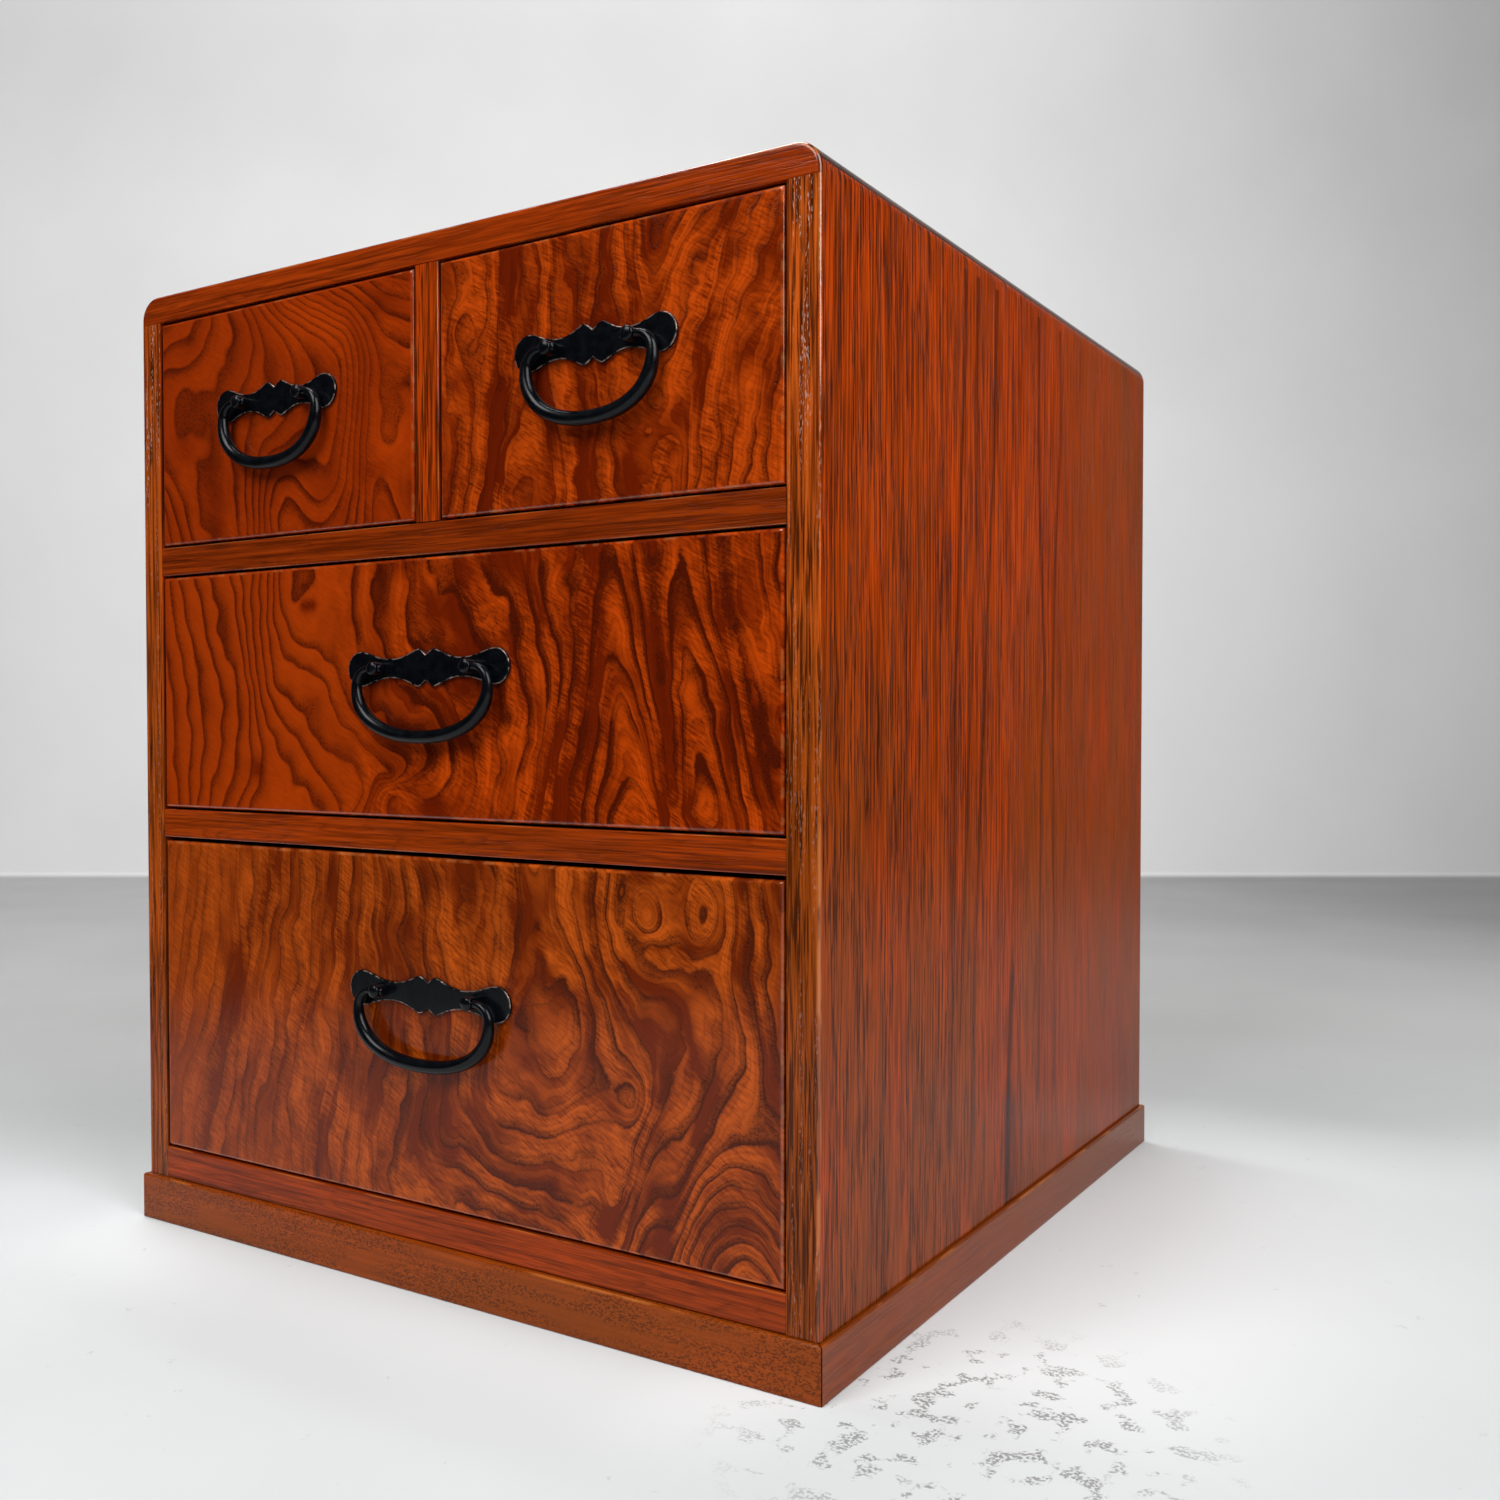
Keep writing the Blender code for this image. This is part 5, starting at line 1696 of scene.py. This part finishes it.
@dataclass
class Handle:
    """Iron drop handle: a shaped plate, two posts with eyes, and a bail that hangs in them."""

    name: str
    length: float
    thick: float = 0.0010
    bevel: float = 0.00030
    bevel_chords: int = 4
    worn_band: float = 0.00025
    worn: float = 0.8
    inset: float = 0.0181
    gap: float = 0.0003
    post_radius: float = 0.0027
    crown: float = 0.0029
    crown_drop: float = 0.0012
    eye: float = 0.0018
    eye_sides: int = 64
    head_reach: float = 0.0050
    head_probes: int = 400
    head_rings: int = 14
    shank_radius: float = 0.0016
    shank_root: float = 0.0006
    shank_sides: int = 24
    leg_width: float = 0.0030
    leg_thick: float = 0.0010
    leg_edge: float = 0.0003
    leg_chords: int = 3
    leg_pitch: Pair = (0.0020, 0.0010)
    bail_radius: float = 0.0027
    bail_sides: int = 28
    tip_radius: float = 0.0015
    tip_dome: float = 0.0004
    dome_chords: int = 5
    drop: float = 0.027
    bend: float = 0.007
    shoulder: float = 0.0004
    tip: float = 0.0008
    fullness: float = 2.25
    taper: float = 0.4
    straight_points: int = 12
    bend_points: int = 20
    bow_points: int = 60

    def __post_init__(self) -> None:
        """Read where the handle sits from its plate and posts."""
        low, high = node_box(f"{self.name}_handle_plate")
        self.centre = ((low[0] + high[0]) / 2, (low[2] + high[2]) / 2)
        self.plate_front = low[1]
        self.eye_y = node_box(f"{self.name}_handle_post_left")[0][1] + self.crown
        self.post_x = self.length / 2 - self.inset

    def build(self, finish: Material) -> None:
        """Build and dress the plate, both posts and the bail.

        Args:
            finish: the iron.
        """
        self.build_plate(finish)
        for hand, side in (("left", -1.0), ("right", 1.0)):
            self.build_post(hand, side, finish)
        self.build_bail(finish)

    def build_plate(self, finish: Material) -> None:
        """Plate: the outline's edge rolled over a small quarter circle, its wear marked there.

        Args:
            finish: the iron.
        """
        outline = BatWing(self.centre, self.length)
        first, *rest = round_over(self.bevel, ALL_SIDES, self.bevel_chords)
        stations = [Station((self.bevel + self.worn_band,) * 4, 0.0), Station(first.inset, 0.0, self.worn),
                    *rest, Station(NO_SIDES, self.thick)]
        piece = slab(outline, stations, Facing.FRONT, self.plate_front).finish(f"{self.name}_plate")
        dress(piece, finish, f"{self.name}_drawer", (f"{self.name}_handle_plate",))

    def build_post(self, hand: str, side: float, finish: Material) -> None:
        """Post: a domed turned head pierced by the eye, a shank, and two legs spread inside.

        The head is a ring round the eye's axis. At each turn round the eye, and each distance from it out
        to the head's skin, its half width is sqrt(R2 - z2), R being the head's radius at that height.

        Args:
            hand: which post.
            side: -1 for the left post and 1 for the right one.
            finish: the iron.
        """
        node = f"{self.name}_handle_post_{hand}"
        x = self.centre[0] + side * self.post_x
        turn = np.linspace(0.0, math.tau, self.eye_sides, endpoint=False)[:, None]
        probe = np.linspace(self.eye, self.head_reach, self.head_probes)[None, :]
        inside = self._half_width(probe * np.cos(turn), probe * np.sin(turn)) > 0
        reach = np.where(inside, probe, self.eye).max(axis=1, keepdims=True)
        share = np.sin(np.linspace(0.0, QUARTER, self.head_rings))[None, :]
        out = self.eye + share * (reach - self.eye)
        height, across = out * np.cos(turn), out * np.sin(turn)
        half = self._half_width(height, across)
        left, right = (np.stack([x + edge, self.eye_y - height, self.centre[1] + across], -1)
                       for edge in (-half, half))
        ring = np.concatenate([left, right[:, ::-1]], axis=1)
        bore = np.stack([right[:, 0], left[:, 0]])
        skin = Skin()
        skin.grid(np.concatenate([ring, ring[:1]]).swapaxes(0, 1))
        skin.grid(bore, wrap=True)
        self._add_shank(skin, x, node)
        piece = skin.finish(f"{self.name}_post_{hand}")
        dress(piece, finish, f"{self.name}_drawer", (node,))

    def _half_width(self, height: Array, across: Array) -> Array:
        """Return the head's half width, nothing where it has ended.

        Args:
            height: places over the eye, away from the plate.
            across: places above and below the eye.

        Returns:
            One number for each place.
        """
        dome = np.clip((height - (self.crown - self.crown_drop)) / self.crown_drop, 0.0, 1.0)
        radius = self.post_radius * np.sqrt(1 - dome * dome)
        held = (height > self.eye_y - self.plate_front + self.gap) & (height < self.crown)
        return np.where(held, np.sqrt(np.maximum(radius * radius - across * across, 0.0)), 0.0)

    def _add_shank(self, skin: Skin, x: float, node: str) -> None:
        """Add the shank through the front and the flat legs that hold it inside the drawer.

        Args:
            skin: the post's surface so far.
            x: where the post stands.
            node: the solid that it stands for.
        """
        low, high = node_box(node)
        z = self.centre[1]
        turn = np.linspace(0.0, math.tau, self.shank_sides + 1)[:, None]
        radius = np.array([0.0, self.shank_radius, self.shank_radius, 0.0])
        root, tail = self.plate_front - self.shank_root, high[1] - self.leg_thick / 2
        deep = np.array([root, root, tail, tail]) + 0 * turn
        skin.grid(np.stack([x + radius * np.cos(turn), deep, z + radius * np.sin(turn)], -1)[::-1])
        half = self.leg_width / 2
        outline = Panel((low[0], z - half), (high[0], z + half), self.leg_pitch)
        edge = round_over(self.leg_edge, ALL_SIDES, self.leg_chords)
        stations = edge + [Station(s.inset, self.leg_thick - s.depth, s.rim) for s in reversed(edge)]
        skin.join(slab(outline, stations, Facing.FRONT, high[1] - self.leg_thick))

    def centre_line(self) -> tuple[Array, Array]:
        """Lay out the bail's centre line from one tip to the other.

        From the tip in the eye the line runs straight to a quarter bend, then follows
        |x/a|^n + |z/b|^n = 1 down to the middle. The radius grows by a smooth step from the tip.

        Returns:
            The line's points across and up, and the bar's radius along it.
        """
        start = self.post_x - self.post_radius - self.tip
        bend_x = self.post_x + self.post_radius + self.shoulder
        along = np.linspace(start, bend_x, self.straight_points)
        straight = np.stack([along, np.zeros_like(along)], -1)
        turn = np.linspace(0.0, QUARTER, self.bend_points)[1:]
        corner = np.stack([bend_x + self.bend * np.sin(turn), self.bend * (np.cos(turn) - 1)], -1)
        fall = np.linspace(0.0, QUARTER, self.bow_points)[1:]
        power = 2 / self.fullness
        bow = np.stack([(bend_x + self.bend) * np.maximum(np.cos(fall), 0.0) ** power,
                        -self.bend - (self.drop - self.bend) * np.sin(fall) ** power], -1)
        half = np.concatenate([straight, corner, bow])
        half[-1, 0] = 0.0
        run = np.concatenate([[0.0], np.cumsum(np.linalg.norm(np.diff(half, axis=0), axis=1))])
        begin = run[np.argmax(half[:, 0] >= self.post_x + self.post_radius)]
        share = np.clip((run - begin) / (run[-1] - begin) / self.taper, 0.0, 1.0)
        radius = self.tip_radius + (self.bail_radius - self.tip_radius) * share * share * (3 - 2 * share)
        line = np.concatenate([half, (half * (-1, 1))[-2::-1]])
        return line, np.concatenate([radius, radius[-2::-1]])

    def build_bail(self, finish: Material) -> None:
        """Bail: a circle carried along the centre line, its tips closed by shallow domes.

        Args:
            finish: the iron.
        """
        line, radius = self.centre_line()
        along = np.gradient(line, axis=0)
        along /= np.linalg.norm(along, axis=1, keepdims=True)
        dome = np.linspace(0.0, QUARTER, self.dome_chords + 1)[1:]
        first = line[0] - np.outer(np.sin(dome), along[0]) * self.tip_dome
        last = line[-1] + np.outer(np.sin(dome), along[-1]) * self.tip_dome
        thin = self.tip_radius * np.cos(dome)
        line = np.concatenate([first[::-1], line, last])
        along = np.pad(along, ((self.dome_chords, self.dome_chords), (0, 0)), mode="edge")
        radius = np.concatenate([thin[::-1], radius, thin])[:, None]
        turn = np.linspace(0.0, math.tau, self.bail_sides, endpoint=False)[None, :]
        side = np.stack([-along[:, 1], along[:, 0]], -1)
        x = self.centre[0] + line[:, :1] + radius * np.cos(turn) * side[:, :1]
        z = self.centre[1] + line[:, 1:] + radius * np.cos(turn) * side[:, 1:]
        skin = Skin()
        skin.grid(np.stack([x, self.eye_y + radius * np.sin(turn), z], -1), wrap=True)
        piece = skin.finish(f"{self.name}_drop_bail")
        dress(piece, finish, f"{self.name}_bail", (f"{self.name}_handle_bail",))


@dataclass(frozen=True)
class Lamp:
    """A soft rectangular lamp: where it hangs, the point it looks at, its width and height, its watts."""

    name: str
    place: Triple
    aim: Triple
    size: Pair
    power: float

    def hang(self) -> None:
        """Add the lamp to the scene."""
        data = bpy.data.lights.new(self.name, 'AREA')
        data.shape = 'RECTANGLE'
        data.size, data.size_y = self.size
        data.energy = self.power
        lamp = bpy.data.objects.new(self.name, data)
        bpy.context.scene.collection.objects.link(lamp)
        away = np.array(self.place) - np.array(self.aim)
        lamp.location = self.place
        lamp.rotation_euler = (math.atan2(math.hypot(away[0], away[1]), away[2]), 0.0,
                               math.atan2(away[0], -away[1]))


@dataclass
class Studio:
    """Pale floor and wall, soft lamps and the camera at the photograph's viewpoint."""

    eye: Triple = (0.4052, -0.5900, 0.2250)
    yaw: float = 31.784
    pitch: float = -1.324
    lens: float = 34.78
    sensor: float = 36.0
    nearest: float = 0.01
    rise: float = 0.005
    wall: float = 2.09
    cove: float = 0.012
    behind: float = -5.0
    half_width: float = 6.0
    height: float = 4.0
    floor_steps: int = 30
    cove_steps: int = 9
    wall_steps: int = 13
    width_steps: int = 40
    sky: Sides = (0.95, 0.97, 1.0, 1.0)
    sky_strength: float = 0.03
    lamps: tuple[Lamp, ...] = (
        Lamp("lamp_front", (-0.30, -1.90, 2.05), (0.0, -0.1, 0.2), (1.5, 1.2), 48.0),
        Lamp("lamp_right", (1.25, -0.45, 1.15), (0.15, -0.05, 0.2), (0.8, 1.2), 22.5),
        Lamp("lamp_wall", (-0.8, 0.1, 2.9), (-0.7, 1.3, 0.6), (1.4, 0.8), 60.0))

    def build(self) -> None:
        """Build the stage, the lamps and the camera."""
        self.build_stage()
        self.build_lamps()
        self.build_camera()

    def build_stage(self) -> None:
        """Floor and wall: an L-shaped profile with a small cove, carried across the view."""
        yaw = math.radians(self.yaw)
        ahead = np.array([-math.sin(yaw), math.cos(yaw), 0.0])
        across = np.array([math.cos(yaw), math.sin(yaw), 0.0])
        turn = np.linspace(0.0, QUARTER, self.cove_steps)[1:]
        floor = np.linspace(self.behind, self.wall - self.cove, self.floor_steps)
        upright = np.linspace(self.cove, self.height, self.wall_steps)[1:]
        run = np.concatenate([floor, self.wall - self.cove + self.cove * np.sin(turn),
                              np.full_like(upright, self.wall)])
        rise = np.concatenate([np.zeros_like(floor), self.cove * (1 - np.cos(turn)), upright])
        spread = np.linspace(-self.half_width, self.half_width, self.width_steps)
        base = np.array([self.eye[0], self.eye[1], 0.0])
        points = (base + run[None, :, None] * ahead + spread[:, None, None] * across
                  + rise[None, :, None] * np.array(Z_AXIS))
        skin = Skin()
        skin.grid(points)
        stage = skin.finish("studio_floor")
        stage.data.materials.append(PalePlaster().material("pale_plaster"))

    def build_lamps(self) -> None:
        """A soft lamp high before the front, a tall one at the right, one for the wall, and a dim sky."""
        for lamp in self.lamps:
            lamp.hang()
        world = bpy.data.worlds.new("dim_sky")
        world.use_nodes = True
        world.node_tree.nodes["Background"].inputs["Color"].default_value = self.sky
        world.node_tree.nodes["Background"].inputs["Strength"].default_value = self.sky_strength
        bpy.context.scene.world = world

    def build_camera(self) -> None:
        """Camera at the photograph's viewpoint, and the plain view transform."""
        data = bpy.data.cameras.new("photo_camera")
        data.sensor_width = self.sensor
        data.lens = self.lens
        data.shift_y = self.rise
        data.clip_start = self.nearest
        camera = bpy.data.objects.new("photo_camera", data)
        camera.location = self.eye
        camera.rotation_euler = (math.radians(90.0 + self.pitch), 0.0, math.radians(self.yaw))
        bpy.context.scene.collection.objects.link(camera)
        bpy.context.scene.camera = camera
        bpy.context.scene.view_settings.view_transform = 'Standard'


FRONT_FINISHES: dict[str, FiguredLacquer] = {
    "top_left": FiguredLacquer((0.160, 0.0120, 0.0003), (0.47, 0.048, 0.0014), lines=0.85),
    "top_right": FiguredLacquer((0.140, 0.0108, 0.0003), (0.57, 0.069, 0.0033), lines=0.55, late=0.30,
                                banding=0.30, contrast=1.25),
    "middle": FiguredLacquer((0.145, 0.0110, 0.0003), (0.57, 0.064, 0.0023), lines=0.85, late=0.30,
                             banding=0.58),
    "bottom": FiguredLacquer((0.140, 0.0150, 0.0008), (0.55, 0.092, 0.0066), (0.070, 0.0090, 0.0008),
                             lines=0.46, late=0.45, banding=0.45)}
PLATE_LENGTHS: dict[str, float] = {"top_left": 0.0732, "top_right": 0.0732,
                                   "middle": 0.0854, "bottom": 0.0854}
INNER_BOARDS: dict[str, Grain] = {"back_panel": Grain.UPRIGHT, "bottom_board": Grain.LEVEL,
                                  "lower_shelf": Grain.LEVEL, "upper_shelf": Grain.LEVEL}


def main() -> None:
    """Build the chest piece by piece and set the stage."""
    logging.basicConfig(level=logging.INFO, format="%(name)s: %(message)s")
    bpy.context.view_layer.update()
    Case().build()
    bare = {grain: BareWood(grain).material(f"bare_wood_{grain.name.lower()}") for grain in Grain}
    iron = BlackIron().material("black_iron_skin")
    for name, length in PLATE_LENGTHS.items():
        Drawer(name).build(FRONT_FINISHES[name].material(f"{name}_figured_lacquer"), bare)
        Handle(name, length).build(iron)
    for node, grain in INNER_BOARDS.items():
        dress_node(node, bare[grain])
    Studio().build()


if __name__ == "__main__":
    main()
